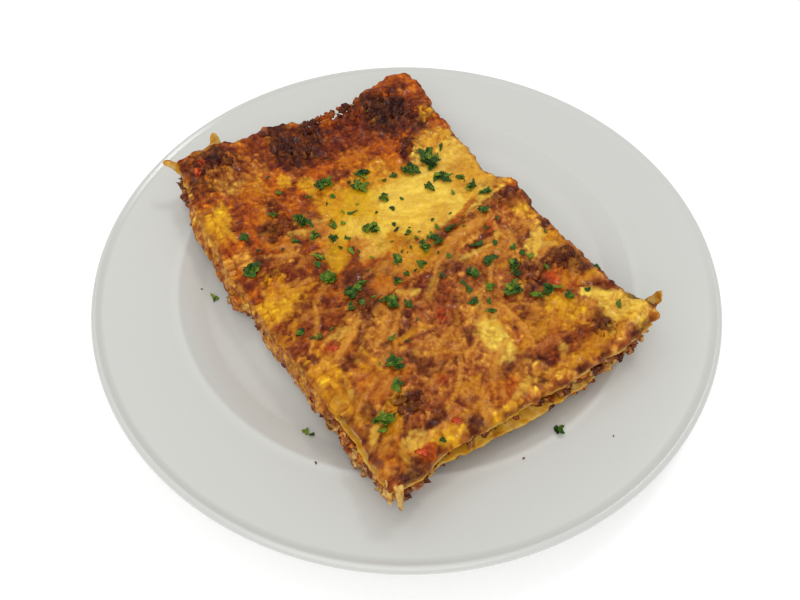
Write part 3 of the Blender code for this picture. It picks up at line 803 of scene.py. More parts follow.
STAINS = tuple(Stain(*row) for row in (
    (CREAM, 20, 28, 22, 34, 15, 0.9), (PALE, 36, 52, 20, 14, 0, 0.9),
    (LEMON, 10, 22, 9, 14, -20, 0.6), (YELLOW, 30, -3, 16, 14, 20), (YELLOW, 12, 4, 14, 10, 0, 0.5),
    (CREAM, 16, -3, 8, 8, 0, 0.6), (CREAM, 22, -12, 6, 7, -30, 0.8),
    (YELLOW, 14, -22, 14, 5, 35, 0.7), (LEMON, -8, 4, 8, 9, 0, 0.8), (GOLD, 44, 20, 9, 16, 10, 0.9),
    (AMBER, 47, 29, 8, 5, 20, 0.9), (GOLD, 42, -10, 8, 8, 0, 0.7), (GOLD, 20, 60, 14, 6, 0, 0.5),
    (GOLD, 50, 55, 7, 8, 0, 0.6), (AMBER, 5, 3, 5, 4, 0, 0.55), (TAN, 10, -10, 6, 5, 0, 0.75),
    (GOLD, 22, 52, 10, 6, 0, 0.4), (ORANGE, 58, 32, 9, 9, 0, 0.8), (ORANGE, 62, 12, 9, 20),
    (AMBER, 60, 14, 4, 9, 0, 0.8), (RUSSET, 56, 20, 3, 8, 0, 0.9), (RUST, 54, 4, 4, 5),
    (ORANGE, 57, -6, 6, 6), (RUSSET, 68, 22, 7, 18), (RUST, 77, 14, 13, 24, 0, 0.95),
    (RUST, 70, 50, 12, 16, 0, 0.8), (ORANGE, 87, 60, 7, 7, 0, 0.8), (ORANGE, 86, 14, 4, 7, 0, 0.6),
    (UMBER, 74, 41, 12, 12, 20, 0.95), (CHAR, 77, 43, 8, 10, 0, 0.9), (CHAR, 85, 54, 3, 4, 0, 0.9),
    (CHAR, 88, 38, 3, 6, 0, 0.8), (UMBER, 63, 52, 5, 5, 20), (UMBER, 64, 62, 4, 3, 0, 0.9),
    (GREIGE, 64, 57, 3, 2, 30, 0.8), (RUST, 51, 38, 8, 3.5, 30, 0.95),
    (UMBER, 52, 39, 6, 2.2, 30, 0.8), (RUST, 80, 24, 9, 7, 0, 0.8), (UMBER, 87, 25, 3, 8, 0, 0.8),
    (UMBER, 84, 4, 8, 6, 0, 0.9), (UMBER, 77, -8, 11, 13, 0, 0.95), (BARK, 74, -4, 8, 8, 0, 0.6),
    (CHAR, 80, -12, 8, 7, 0, 0.6), (CHAR, 91, -12, 3, 8, 0, 0.8), (RUST, 66, 2, 5, 8, 0, 0.7),
    (RUST, 84, -24, 11, 4), (RUSSET, 86, -27, 7, 2, 0, 0.8), (GREIGE, 74, -40, 10, 13, 0, 0.9),
    (ORANGE, 78, -34, 9, 6, 20, 0.6), (GREIGE, 68, -41, 3.5, 9, 0, 0.9),
    (RUSSET, 80, -42, 8, 9, 0, 0.75), (UMBER, 87, -47, 7, 8, 0, 0.9), (CHAR, 89, -43, 4, 4),
    (UMBER, 78, -57, 11, 5, 0, 0.75), (RED, 80, -55, 2, 1.4, 0, 0.7),
    (RED, 86, -52, 1.6, 1.2, 0, 0.6), (GOLD, 94, -48, 3, 8, 0, 0.8), (AMBER, 62, -36, 9, 8, 30),
    (GOLD, 65, -34, 7, 2, 30, 0.8), (LEMON, 55, -14, 6, 4, 0, 0.9), (LEMON, 63, -23, 3.5, 4),
    (RUSSET, 56, -23, 2.4, 6, -35, 0.9), (ORANGE, 66, -28, 6, 2.5, 0, 0.8),
    (ORANGE, 47, -44, 13, 9, 0, 0.9), (AMBER, 49, -41, 9, 4, 10), (RUSSET, 57, -47, 7, 3.2, 25),
    (RUSSET, 48, -54, 7, 4, 0, 0.75), (LEMON, 55, -57, 9, 4, 20, 0.9),
    (LEMON, 49, -61, 9, 2.5, 0, 0.8), (MAUVE, 37, -36, 6, 7), (UMBER, 38, -43, 6, 4, 0, 0.9),
    (BARK, 50, -35, 4, 3, 0, 0.9), (TAN, 30, -24, 9, 7, 0, 0.6), (RUSSET, 36, -21, 4, 4, 0, 0.8),
    (RUSSET, 13, -40, 13, 11), (RUST, 15, -43, 8, 4, 0, 0.6), (TAN, 22, -42, 4, 7, -20, 0.6),
    (BARK, 15, -51, 4, 3), (LEMON, 0, -53, 9, 9, 30, 0.95), (GOLD, 10, -54, 7, 5),
    (RUST, 19, -57, 4, 6, 0, 0.75), (MAUVE, 26, -52, 4, 4), (TAN, 30, -58, 7, 5, 0, 0.7),
    (ORANGE, 40, -58, 5, 4, 0, 0.7), (RUSSET, -12, -44, 12, 12), (MAUVE, -21, -28, 11, 7, 20, 0.9),
    (MAUVE, -5, -22, 6, 7), (BARK, -4, -23, 4, 4, 0, 0.6), (MAUVE, -7, -12, 4, 5, 0, 0.8),
    (AMBER, -13, -15, 5, 5), (RED, -29, -48, 4, 3.5, 0, 0.75), (AMBER, -27, -53, 5, 3, 0, 0.8),
    (RUSSET, -20, -56, 7, 5, 20, 0.8), (RUST, -10, -57, 3, 6, 0, 0.7),
    (MAUVE, -35, -38, 6, 3, 15, 0.8), (TAN, -29, -42, 12, 3.2, 50, 0.9),
    (GOLD, -46, -54, 18, 4, 0, 0.9), (AMBER, -50, -43, 9, 8, 0, 0.7), (TAN, -32, -28, 10, 3.5, 45),
    (RUSSET, -33, -3, 14, 9, 0, 0.8), (ROSE, -40, -8, 10, 8, 0, 0.7), (RED, -39, -4, 3, 2.5, 0, 0.6),
    (MAUVE, -44, -2, 3, 2, 0, 0.7), (RUST, -21, -4, 3, 7, 0, 0.8), (TAN, -50, -12, 5, 12, 10, 0.6),
    (ROSE, -66, -14, 12, 11), (MAUVE, -57, -22, 5, 5, 0, 0.9), (MAUVE, -58, -13, 4, 4, 0, 0.6),
    (RED, -62, -22, 2.5, 2.5, 0, 0.55), (ORANGE, -80, -6, 6, 8, 0, 0.8),
    (LEMON, -86, -12, 2.2, 10, 0, 0.8), (TAN, -76, -16, 7, 6, 0, 0.7), (BARK, -84, -21, 3, 2),
    (ROSE, -74, -25, 6, 5, 0, 0.7), (BARK, -76, -34, 2, 6, -15, 0.9), (ROSE, -71, -37, 4, 7, 15),
    (UMBER, -64, -37, 4.5, 6), (BARK, -68, -42, 4, 2.5, 0, 0.8), (LEMON, -84, -34, 3, 8),
    (PALE, -79, -43, 4, 4, 30, 0.7), (RED, -85, -42, 2.5, 2.5, 0, 0.8),
    (ORANGE, -88, -44, 4, 5, 0, 0.6), (UMBER, -88, -51, 4.5, 6, 0, 0.9),
    (AMBER, -80, -53, 6, 5, 0, 0.9), (BARK, -73, -55, 3, 3, 0, 0.8), (GOLD, -68, -46, 8, 2.4, 25),
    (BARK, -58, -49, 3, 1.6, 0, 0.7), (GOLD, -62, -55, 8, 3, 0, 0.6), (CREAM, -58, 8, 12, 6, 15),
    (ORANGE, -60, 14, 9, 1.6, 0, 0.7), (TAN, -55, 18, 12, 2.4, -5), (GOLD, -66, 32, 9, 14, 0, 0.8),
    (LEMON, -62, 39, 8, 5, -20), (PALE, -78, 54, 10, 8, 0, 0.9), (CREAM, -66, 53, 6, 2.6, -50),
    (GOLD, -84, 30, 4, 24, 0, 0.8), (TAN, -85, 18, 3, 10, 0, 0.6), (RUSSET, -77, 26, 5, 16, 0, 0.9),
    (RUST, -77, 20, 3, 7), (BARK, -75, 13, 3.5, 4), (BARK, -80, 43, 4.5, 4.5, 0, 0.95),
    (UMBER, -81, 42, 2.6, 3, 0, 0.8), (ROSE, -72, 24, 2.6, 9, -12), (UMBER, -82, 8, 4.5, 1.8, -15),
    (RUSSET, -60, 26, 3, 3, 0, 0.6), (UMBER, -84, 62, 3, 1.6, 0, 0.9), (UMBER, -77, 61, 3, 1.4, -20),
    (RUST, -66, 59, 5, 2.4, -35, 0.8), (ORANGE, -52, 50, 7, 10), (RED, -49, 44, 5, 3, 0, 0.6),
    (BARK, -46, 56, 9, 6, 0, 0.92), (UMBER, -47, 57, 5, 4, 0, 0.6), (BARK, -42, 47, 4, 5),
    (MAUVE, -43, 38, 8, 6, 0, 0.9), (MAUVE, -48, 34, 5, 3, 0, 0.8), (GOLD, -33, 60, 6, 6, 0, 0.9),
    (PALE, -30, 52, 10, 3.6, 52, 0.9), (TAN, -18, 57, 9, 5, 0, 0.7),
    (RUSSET, -23, 49, 2.6, 3, 0, 0.8), (BARK, -20, 63, 2.4, 1.2, 0, 0.8),
    (LEMON, -12, 60, 6, 4, 0, 0.6), (RUST, -2, 56, 4.5, 10, 0, 0.9), (BARK, -2, 58, 3, 6, 0, 0.6),
    (ROSE, -10, 48, 7, 5, 0, 0.8), (RED, -14, 42, 3.5, 3, 0, 0.75), (RUSSET, -17, 36, 6, 7),
    (TAN, -27, 38, 12, 4, 40, 0.8), (ROSE, -35, 30, 10, 8, 0, 0.6), (ROSE, -32, 15, 10, 5, 0, 0.7),
    (MAUVE, -22, 14, 3.4, 9, 0, 0.9), (RUSSET, -25, 5, 8, 5, 0, 0.7), (RUSSET, -3, 32, 4, 10),
    (TAN, -11, 30, 3.6, 16, -18, 0.95), (GOLD, -13, 14, 2.6, 8, -14, 0.8),
    (ORANGE, 3, 38, 1.6, 12, -22), (MAUVE, -3, 22, 3, 4, 0, 0.7), (RUST, -5, 20, 2, 2, 0, 0.6),
    (TAN, -42, 14, 8, 9, 0, 0.6), (TAN, -78, 8, 5, 6, 0, 0.6), (TAN, -66, -2, 6, 5, 0, 0.5),
    (GOLD, -42, -40, 5, 5, 0, 0.6), (BARK, -53, 58, 5, 5, 0, 0.7), (MAUVE, -54, 34, 4, 5, 0, 0.6),
    (PALE, 6, 24, 5, 12, 0, 0.6), (PALE, 5, -8, 4, 8, 0, 0.55), (TAN, -6, -4, 5, 10, 0, 0.5),
    (AMBER, 58, 14, 8, 9, 0, 0.7), (LEMON, 36, -13, 8, 5, 0, 0.7), (UMBER, 76, -14, 14, 5, 0, 0.6),
    (BARK, -12, -26, 9, 5, 0, 0.55), (MAUVE, -30, -18, 6, 6, 0, 0.4),
    (RUSSET, -90, -10, 3, 22, 0, 0.6), (MAUVE, -66, -53, 20, 4, 0, 0.45), (ROSE, 0, 46, 6, 5, 0, 0.4),
    (GOLD, 14, 47, 8, 5, 0, 0.5), (RUST, 86, 54, 5, 8, 0, 0.6), (GOLD, 66, 60, 4, 4, 0, 0.7),
    (UMBER, 85, -40, 7, 9, 0, 0.35), (CREAM, 24, 24, 12, 18, 15, 0.6), (CREAM, 16, 10, 9, 8, 0, 0.5),
))


@dataclass(frozen=True)
class Strand:
    """A melted shred of cheese on the crust, in millimetres: both ends, bow, width, rise, tone and cover."""

    b0: float
    a0: float
    b1: float
    a1: float
    bow: float
    width: float = 3.0
    rise: float = 0.9
    tone: Tone = TAN
    cover: float = 0.65


STRANDS = tuple(Strand(*row) for row in (
    (-20, -5, -46, -30, 3), (-14, -14, -28, -34, -2), (-48, -30, -60, -56, 3), (-48, -6, -74, -26, -4),
    (-12, 26, -22, 4, 2), (-62, 12, -80, -10, 3), (-22, 44, -40, 20, 3), (-56, 30, -50, 4, 4),
    (-6, -44, -26, -56, -2), (-10, 50, 0, 36, 2), (-8, 43, -15, 7, 2, 6.0, 1.1),
    (-36, 47, -25, 59, 0, 4.6, 0.8, PALE), (-38, -34, -25, -21, 1, 4.4, 0.9),
    (-35, -51, -22, -31, 1, 4.2, 1.0), (-69, 18, -44, 17, 2, 3.6, 0.8),
    (-74, 32, -72, 14, 0.5, 3.6, 0.8, ROSE), (-70, 57, -61, 50, -1, 3.4, 0.7, CREAM),
    (-42, -10, -41, -27, 1.5, 3.6, 0.8, GOLD), (-53, -3, -51, -19, -3, 2.6, 0.7),
    (-56, 1, -55, -12, -3, 2.2, 0.6), (-72, -47, -60, -42, 0, 3.4, 0.7, GOLD),
    (-66, -28, -74, -44, 1, 3.6, 0.8, ROSE), (-30, 40, -18, 46, 1, 3.4, 0.7),
    (-40, 32, -26, 40, 1, 3.0, 0.6), (18, -36, 26, -50, 1, 3.0, 0.7), (24, -34, 29, -46, 1, 2.6, 0.6),
    (2, -38, 6, -50, -1, 3.0, 0.7, GOLD), (40, -57, 56, -60, 1, 3.4, 0.7, LEMON),
    (58, -44, 66, -31, 1, 3.0, 0.6, AMBER), (48, -28, 62, -40, 1, 3.2, 0.7, AMBER),
    (60, 8, 62, 24, 1, 3.4, 0.6, AMBER), (84, -24, 92, -28, 0.5, 2.4, 0.7, RUSSET),
    (-84, 48, -86, 20, 0.5, 4.0, 0.5, SHEET), (-58, -56, -38, -57, 1, 3.6, 0.6, GOLD),
    (-18, -60, -9, -54, 0.5, 2.8, 0.6, GOLD), (-48, 22, -40, 6, 1, 2.8, 0.6, ROSE),
    (-31, 8, -44, -4, 1, 2.6, 0.6, ROSE), (-26, 26, -36, 12, 1, 2.8, 0.6, ROSE),
))

# How gritty the food is under each tone: smooth cheese is 0 and mince is 1
GRIT = {
    CREAM: 0.05, PALE: 0.20, YELLOW: 0.05, LEMON: 0.20, GOLD: 0.35, AMBER: 0.30,
    ORANGE: 0.40, TAN: 0.55, ROSE: 0.85, RUSSET: 0.80, RUST: 0.90, MAUVE: 0.95,
    BARK: 1.00, UMBER: 1.00, CHAR: 1.00, RED: 0.50, GREIGE: 0.80, SHEET: 0.30,
}

# Browned mince that stands out of the crust, in millimetres: b, a, half widths along b and a
CRAGS = (
    (78, 44, 12, 14), (80, -10, 12, 14), (84, -46, 9, 12), (64, 58, 6, 7), (52, 40, 7, 6), (36, -38, 7, 6),
    (52, -36, 7, 5), (-46, 56, 9, 8), (-80, 42, 6, 6), (-68, -36, 9, 6), (-90, -52, 6, 8), (86, 20, 5, 22),
    (78, -57, 12, 5), (-42, 38, 8, 6), (-20, -28, 9, 6), (-2, 57, 4, 9), (15, -51, 5, 4), (-64, -38, 5, 6),
)


@dataclass
class Crust:
    """The baked top: melted cheese with browned mince, a fold across it and a pale valley behind the fold."""

    form: SliceForm
    grid: SlabGrid
    low: float
    thickness: float = 0.0048
    rings: int = 12
    step_height: float = 0.0022
    step_width: float = 0.0045
    step_line: tuple = ((-0.061, -0.024), (-0.020, -0.020), (-0.002, -0.0175), (0.010, -0.013),
                        (0.026, -0.006), (0.045, 0.003), (0.061, 0.007))
    mounds: tuple = ((0.018, 0.018, 0.030, 0.020, -0.0018), (-0.004, 0.008, 0.018, 0.016, -0.0010),
                     (0.046, 0.030, 0.016, 0.020, -0.0012), (0.052, -0.047, 0.010, 0.012, 0.0014),
                     (-0.020, -0.065, 0.016, 0.016, 0.0013), (-0.038, -0.020, 0.016, 0.018, 0.0012),
                     (-0.036, 0.040, 0.009, 0.012, 0.0013), (-0.044, 0.055, 0.010, 0.010, 0.0010),
                     (0.030, -0.030, 0.014, 0.016, 0.0010), (-0.030, -0.090, 0.012, 0.012, -0.0012),
                     (0.060, -0.085, 0.012, 0.010, 0.0016), (0.012, -0.078, 0.012, 0.010, -0.0010),
                     (0.010, 0.090, 0.060, 0.018, 0.0010))
    fan_b: float = 0.030
    fan_a: float = -0.006
    edge_round: float = 0.0016
    underside_inset: float = 0.007
    seed: int = 11
    warmth: tuple[float, float, float] = (0.86, 0.665, 0.22)
    strands: tuple[Strand, ...] = ()

    def __post_init__(self) -> None:
        """Adds loose shreds of its own to the ones that are listed."""
        rng = np.random.default_rng(self.seed)
        loose = []
        for _ in range(170):
            b, a = rng.uniform(-86.0, 46.0), rng.uniform(-58.0, 62.0)
            if b > 0.0 and a > -24.0:
                continue
            angle = math.radians(38.0 + 45.0 * (b + 86.0) / 86.0 + rng.normal(0.0, 22.0))
            half = 0.5 * rng.uniform(6.0, 17.0)
            tone = (TAN, GOLD, PALE, TAN, AMBER)[rng.integers(0, 5)]
            off_b, off_a = half * math.cos(angle), half * math.sin(angle)
            loose.append(Strand(b - off_b, a - off_a, b + off_b, a + off_a, rng.normal(0.0, 0.9),
                                rng.uniform(2.2, 4.6), rng.uniform(0.2, 0.5), tone, rng.uniform(0.20, 0.65)))
        self.strands = tuple(loose) + STRANDS

    def sway(self, side: int, place: Array) -> Array:
        """Ragged edge of the crust: noise of two sizes along each side, most on the left."""
        more = 1.7 if side == LEFT else 1.0
        ragged = 0.0011 * fractal(place, np.full_like(place, 5.0 * side), 0.010, 2, self.seed)
        ragged = ragged + 0.0010 * fractal(place, np.full_like(place, 9.0 * side), 0.0035, 2, self.seed + 1)
        return more * ragged

    def crag_share(self, a: Array, b: Array) -> Array:
        """Share of browned mince at each place, from 0 to 1: soft bells with ragged edges."""
        total = np.zeros_like(a)
        for crag_b, crag_a, half_b, half_a in CRAGS:
            off_a, off_b = (a - crag_a * MM) / (half_a * MM), (b - crag_b * MM) / (half_b * MM)
            total += np.exp(-(off_a**2) - off_b**2)
        return smooth(0.18, 0.8, total + 0.30 * fractal(a, b, 0.005, 3, self.seed + 40))

    def valley_share(self, a: Array, b: Array) -> Array:
        """Share of smooth pale cheese behind the fold, from 0 to 1."""
        past = b - between(self.step_line, a)
        return smooth(-0.001, 0.004, past) * smooth(0.052, 0.036, b + 0.10 * a) * smooth(-0.032, -0.020, a)

    def strand_field(self, a: Array, b: Array, strand: Strand) -> tuple[Array, Array]:
        """Cross-section of a strand: a soft, ragged bell over the nearest point of a bowed line.

        Args:
            a: places along the short side.
            b: places along the long side.
            strand: the strand.

        Returns:
            Numbers of the places near the strand, and there 1 on its crest, falling softly to 0 at its edge.
        """
        share = np.linspace(0.0, 1.0, 22)
        run_b, run_a = strand.b1 - strand.b0, strand.a1 - strand.a0
        length = math.hypot(run_a, run_b)
        arc = strand.bow * (1.0 - (2.0 * share - 1.0) ** 2)
        line_b = (strand.b0 + run_b * share - run_a / length * arc) * MM
        line_a = (strand.a0 + run_a * share + run_b / length * arc) * MM
        half = 0.6 * strand.width * MM
        reach = 1.8 * half
        near = np.flatnonzero((a > line_a.min() - reach) & (a < line_a.max() + reach)
                              & (b > line_b.min() - reach) & (b < line_b.max() + reach))
        distance = np.hypot(a[near][:, None] - line_a, b[near][:, None] - line_b)
        taper = 1.0 - 0.55 * np.abs(2.0 * share - 1.0) ** 3
        ratio = (distance / (half * taper)).min(1)
        rough = 0.45 * fractal(a[near], b[near], 0.0024, 3, self.seed + 70)
        return near, smooth(1.20, 0.35, ratio + rough)

    def streaks(self, a: Array, b: Array) -> Array:
        """Drawn-out noise: three fixed runs blended by place, and lines that fan out over the valley."""
        total = np.zeros_like(a)
        weights = (smooth(-0.020, -0.070, b), smooth(-0.070, -0.020, b) * smooth(0.012, -0.004, b),
                   smooth(-0.004, 0.012, b) * smooth(-0.018, -0.032, a) + smooth(0.046, 0.056, b))
        for number, (degrees, weight) in enumerate(zip((48.0, 72.0, 100.0), weights)):
            c, s = math.cos(math.radians(degrees)), math.sin(math.radians(degrees))
            along, across = b * c + a * s, a * c - b * s
            total += weight * fractal(0.22 * along, across, 0.0017, 3, self.seed + 50 + number)
        off_b, off_a = b - self.fan_b, a - self.fan_a
        turn, away = np.arctan2(off_a, off_b), np.hypot(off_a, off_b) + 0.004
        fan = fractal(0.10 * away, turn * 0.016, 0.0014, 3, self.seed + 60)
        valley = self.valley_share(a, b)
        return total * (1.0 - valley) + valley * fan

    def ground(self, a: Array, b: Array) -> tuple[Array, Array]:
        """Lays the stains over a mottled ground, with ragged, wandering edges.

        Args:
            a: places along the short side.
            b: places along the long side.

        Returns:
            Linear colours, and how gritty each place is, from 0 for smooth cheese to 1 for mince.
        """
        warp_a = (a + 0.0026 * fractal(a, b, 0.010, 3, self.seed + 8)
                  + 0.0009 * fractal(a, b, 0.0026, 2, self.seed + 17))
        warp_b = (b + 0.0026 * fractal(a, b, 0.010, 3, self.seed + 9)
                  + 0.0009 * fractal(a, b, 0.0026, 2, self.seed + 18))
        mottle = fractal(a, b, 0.0070, 4, self.seed + 10)
        fiery = self.ramp((RUST, RUSSET, ORANGE, AMBER, TAN), 0.45 + 0.7 * mottle)
        brown = self.ramp((BARK, MAUVE, ROSE, TAN, GOLD), 0.45 + 0.8 * mottle)
        baked = smooth(-0.030, 0.020, b + 0.012 * mottle)[:, None]
        colour = fiery * baked + brown * (1.0 - baked)
        grit = np.full_like(a, 0.6)
        ragged = 0.38 * fractal(a, b, 0.0030, 4, self.seed + 12)
        for stain in STAINS:
            c, s = math.cos(math.radians(stain.turn)), math.sin(math.radians(stain.turn))
            off_b, off_a = warp_b - stain.b * MM, warp_a - stain.a * MM
            along, across = off_b * c + off_a * s, off_a * c - off_b * s
            ratio = np.hypot(along / (stain.half_b * MM), across / (stain.half_a * MM))
            mask = stain.cover * smooth(1.30, 0.70, ratio + ragged)
            colour += mask[:, None] * (stain.tone.linear - colour)
            grit += mask * (GRIT[stain.tone] - grit)
        return colour, grit

    def relief(self, a: Array, b: Array, grit: Array) -> Array:
        """Height of the surface above the crust's mean level.

        It sums the mounds and dips, the fold's step, soft bumps, packed grains where mince shows, the
        strands with their creases, and fine drawn-out lines.

        Args:
            a: places along the short side.
            b: places along the long side.
            grit: how gritty each place is.

        Returns:
            Heights in metres.
        """
        height = np.zeros_like(a)
        for mound_a, mound_b, half_a, half_b, rise in self.mounds:
            height += rise * np.exp(-(((a - mound_a) / half_a) ** 2) - ((b - mound_b) / half_b) ** 2)
        wander = 0.0022 * fractal(a, b, 0.009, 3, self.seed + 2)
        past = (between(self.step_line, a) + wander - b) / self.step_width
        fade = np.exp(-np.clip(past, 0.0, None) / 6.0)
        height += self.step_height * (0.5 + 0.5 * np.tanh(1.6 * past)) * fade
        crag, valley = self.crag_share(a, b), self.valley_share(a, b)
        calm = 1.0 - 0.75 * valley
        height += 0.0016 * calm * fractal(a, b, 0.0095, 3, self.seed + 3)
        height += 0.0009 * (0.25 + 0.75 * grit) * fractal(a, b, 0.0036, 3, self.seed + 19)
        warp_a, warp_b = a + 0.0010 * fractal(a, b, 0.003, 2, 71), b + 0.0010 * fractal(a, b, 0.003, 2, 72)
        dome, _ = grains(warp_a, warp_b, 0.0036, self.seed + 4)
        fine, _ = grains(warp_a, warp_b, 0.0018, self.seed + 5)
        rocky = 0.0012 * (dome - 0.5) + 0.0008 * (fine - 0.5)
        rocky = rocky + 0.0014 * fractal(a, b, 0.006, 4, self.seed + 6)
        gritty = 0.00045 * (fine - 0.5) + 0.0003 * (dome - 0.5)
        height += crag * (0.0010 + rocky) + (1.0 - crag) * grit * calm * gritty
        height += 0.00028 * (0.5 + valley) * (1.0 - crag) * self.streaks(a, b)
        for strand in self.strands:
            near, field_here = self.strand_field(a, b, strand)
            bare = (1.0 - 0.75 * crag[near]) * (1.0 - 0.8 * valley[near])
            height[near] += 0.5 * strand.rise * MM * field_here * bare
        return height

    def colour(self, a: Array, b: Array, ground: Array, grit: Array, hollow: Array) -> tuple[Array, Array]:
        """Bakes the ground's colour unevenly.

        The browning grows with mottled and streaky noise, in lacy veins and in freckles. Painted shade adds
        to it down in hollows and in the creases beside strands, and a painted highlight takes it off crests.

        Args:
            a: places along the short side.
            b: places along the long side.
            ground: the stains' colours.
            grit: how gritty each place is.
            hollow: how far each place lies below its surroundings, in metres.

        Returns:
            Linear colours, and how oily each place is, from 0 to 1.
        """
        crag, valley = self.crag_share(a, b), self.valley_share(a, b)
        mottle = fractal(a, b, 0.0046, 4, self.seed + 20)
        vein = 1.0 - smooth(0.0, 0.20, np.abs(fractal(a, b, 0.0058, 4, self.seed + 21)))
        freckle = smooth(0.30, 0.62, fractal(a, b, 0.0019, 2, self.seed + 22))
        streak = self.streaks(a, b)
        live = 0.30 + 0.70 * grit
        toast = smooth(0.02, 0.30, fractal(a, b, 0.0034, 4, self.seed + 23))
        pale = smooth(0.12, 0.40, fractal(a, b, 0.0026, 3, self.seed + 24))
        amount = live * (0.95 * mottle + 0.70 * vein + 1.0 * toast - 0.85 * pale - 0.20)
        amount += (0.26 + 0.55 * grit) * streak + 0.75 * grit * freckle
        deep = np.clip(-fractal(a, b, 0.012, 2, 90), 0.0, 1.0)
        amount = amount * (1.0 - 0.72 * valley) + valley * (0.16 * deep + 0.46 * streak)
        # Painted shade in hollows and painted highlight on crests: darker with depth below the surroundings,
        # paler above.
        amount += np.clip(hollow / 0.0006, -1.1, 1.5) * (0.34 + 0.38 * grit)
        shade = ground.copy()
        for strand in self.strands:
            near, field_here = self.strand_field(a, b, strand)
            on = strand.cover * field_here[:, None] * (1.0 - 0.8 * crag[near] - 0.19 * valley[near])[:, None]
            shade[near] += on * (strand.tone.linear - shade[near])
            # Painted shade in the creases along each strand's edges; the strand's crest itself browns less.
            crease_shade = 4.0 * field_here * (1.0 - field_here)
            amount[near] = amount[near] * (1.0 - 0.6 * field_here) + 0.34 * crease_shade * live[near]
        _, number = grains(a, b, 0.0030, self.seed + 4)
        amount += crag * (number - 0.55)
        oil = 0.40 + 1.1 * fractal(a, b, 0.004, 3, self.seed + 16) + 0.10 * crag + 0.10 * valley
        return np.clip(browned(shade, amount) * self.warmth, 0.0015, 0.92), np.clip(oil, 0.0, 1.0)

    @staticmethod
    def ramp(tones: tuple[Tone, ...], share: Array) -> Array:
        """Blends from the first tone to the last as the share goes from 0 to 1."""
        at = np.linspace(0.0, 1.0, len(tones))
        return np.stack([np.interp(share, at, [tone.linear[k] for tone in tones]) for k in range(3)], -1)

    def shoulder(self, s: Array, t: Array) -> Array:
        """How far the top sags towards its edges: a parabola over the last few millimetres."""
        left, right = (1.0 + s) * self.form.half_a, (1.0 - s) * self.form.half_a
        front, back = (1.0 + t) * self.form.half_b, (1.0 - t) * self.form.half_b
        wobble = 0.0012 * fractal(s * self.form.half_a, t * self.form.half_b, 0.009, 2, self.seed + 33)
        drop = np.zeros_like(s)
        sags = ((left, 0.0050, 0.0024), (front, 0.0040, 0.0018), (right, 0.0030, 0.0014),
                (back, 0.0030, 0.0010))
        for distance, width, depth in sags:
            drop = np.maximum(drop, depth * np.clip(1.0 - (distance + wobble) / width, 0.0, 1.2) ** 2)
        return drop

    @staticmethod
    def hollow(height: Array, reach: int = 3) -> Array:
        """Depth of each point of a grid below the mean of the square that reaches so many points round it."""
        padded = np.pad(height, reach, mode="edge")
        total = np.zeros_like(height)
        rows, columns = height.shape
        for down in range(2 * reach + 1):
            for over in range(2 * reach + 1):
                total += padded[down:down + rows, over:over + columns]
        return total / (2 * reach + 1) ** 2 - height

    def build(self, finish: bpy.types.Material) -> bpy.types.Object:
        """Builds the crust: a fine top, a rounded ragged side and a coarse underside."""
        form, grid = self.form, self.grid
        s, t = grid.ring()
        angle = np.linspace(np.radians(70.0), -np.pi / 2.0, self.rings - 1)
        rounded = self.edge_round * (1.0 - np.cos(angle) ** 0.7)
        inset = np.concatenate([rounded, [self.underside_inset]])[:, None]
        level = np.concatenate([0.5 + 0.5 * np.sin(angle), [0.0]])[:, None]
        ring_s, ring_t = s * (1.0 - inset / form.half_a), t * (1.0 - inset / form.half_b)
        a, b = form.outline(ring_s, ring_t, 0.0, self.sway)
        out_a, out_b = Layer.outward(a, b)
        flat_a, flat_b = a.reshape(-1), b.reshape(-1)
        rim_ground, rim_grit = self.ground(flat_a, flat_b)
        rim_relief = self.relief(flat_a, flat_b, rim_grit).reshape(a.shape)
        thick = self.thickness + (rim_relief - self.shoulder(ring_s, ring_t))
        shown = np.concatenate([np.cos(angle) ** 0.5, [0.0]])[:, None]
        dome, _ = grains(a, b, 0.0030, self.seed + 30, self.low + level * thick)
        bulge = 0.0009 * (dome - 0.4) + 0.0011 * fractal(a, b, 0.005, 3, self.seed + 31, level * thick)
        side = form.place(a + out_a * bulge * shown, b + out_b * bulge * shown, self.low + level * thick)

        top_s, top_t = grid.inside(1)
        top_s, top_t = top_s * (1.0 - inset[0, 0] / form.half_a), top_t * (1.0 - inset[0, 0] / form.half_b)
        top_a, top_b = form.outline(top_s, top_t, 0.0, self.sway)
        top_ground, top_grit = self.ground(top_a, top_b)
        top_relief = self.relief(top_a, top_b, top_grit) - self.shoulder(top_s, top_t)
        top = form.place(top_a, top_b, self.low + self.thickness + top_relief)
        low_s, low_t = grid.inside(grid.coarse)
        low_a, low_b = form.outline(low_s * (1.0 - self.underside_inset / form.half_a),
                                    low_t * (1.0 - self.underside_inset / form.half_b), 0.0, self.sway)
        bottom = form.place(low_a, low_b, np.full_like(low_a, self.low))
        points = np.concatenate([side.reshape(-1, 3), top, bottom])
        crust = make_object("baked_crust", points, grid.faces(self.rings, 1), finish)

        shape = (grid.cells_a - 1, grid.cells_b - 1)
        # Depth below the surroundings, which colour() turns into painted shade in hollows and a painted
        # highlight on crests.
        depth = self.hollow(top_relief.reshape(shape)).reshape(-1)
        top_tint, top_oil = self.colour(top_a, top_b, top_ground, top_grit, depth)
        # Painted shade on the side: a fixed darkening, more between the grains of its bulge and less on them.
        side_shade = 0.0004 + 0.0008 * (0.6 - dome) * shown
        rim_tint, rim_oil = self.colour(flat_a, flat_b, rim_ground, rim_grit, side_shade.reshape(-1))
        under = (0.35 * smooth(0.95, 0.3, level) + 0.0 * a).reshape(-1)[:, None]
        rim_tint = rim_tint * (1.0 - under) + under * AMBER.linear
        low_tint = np.tile(AMBER.linear, (len(low_a), 1))
        paint(crust, "tint", np.concatenate([rim_tint, top_tint, low_tint]))
        paint(crust, "wet", np.concatenate([rim_oil, top_oil, np.full(len(low_a), 0.5)]))
        settle(crust, "cheese_crust", "cheese_crust")
        return crust

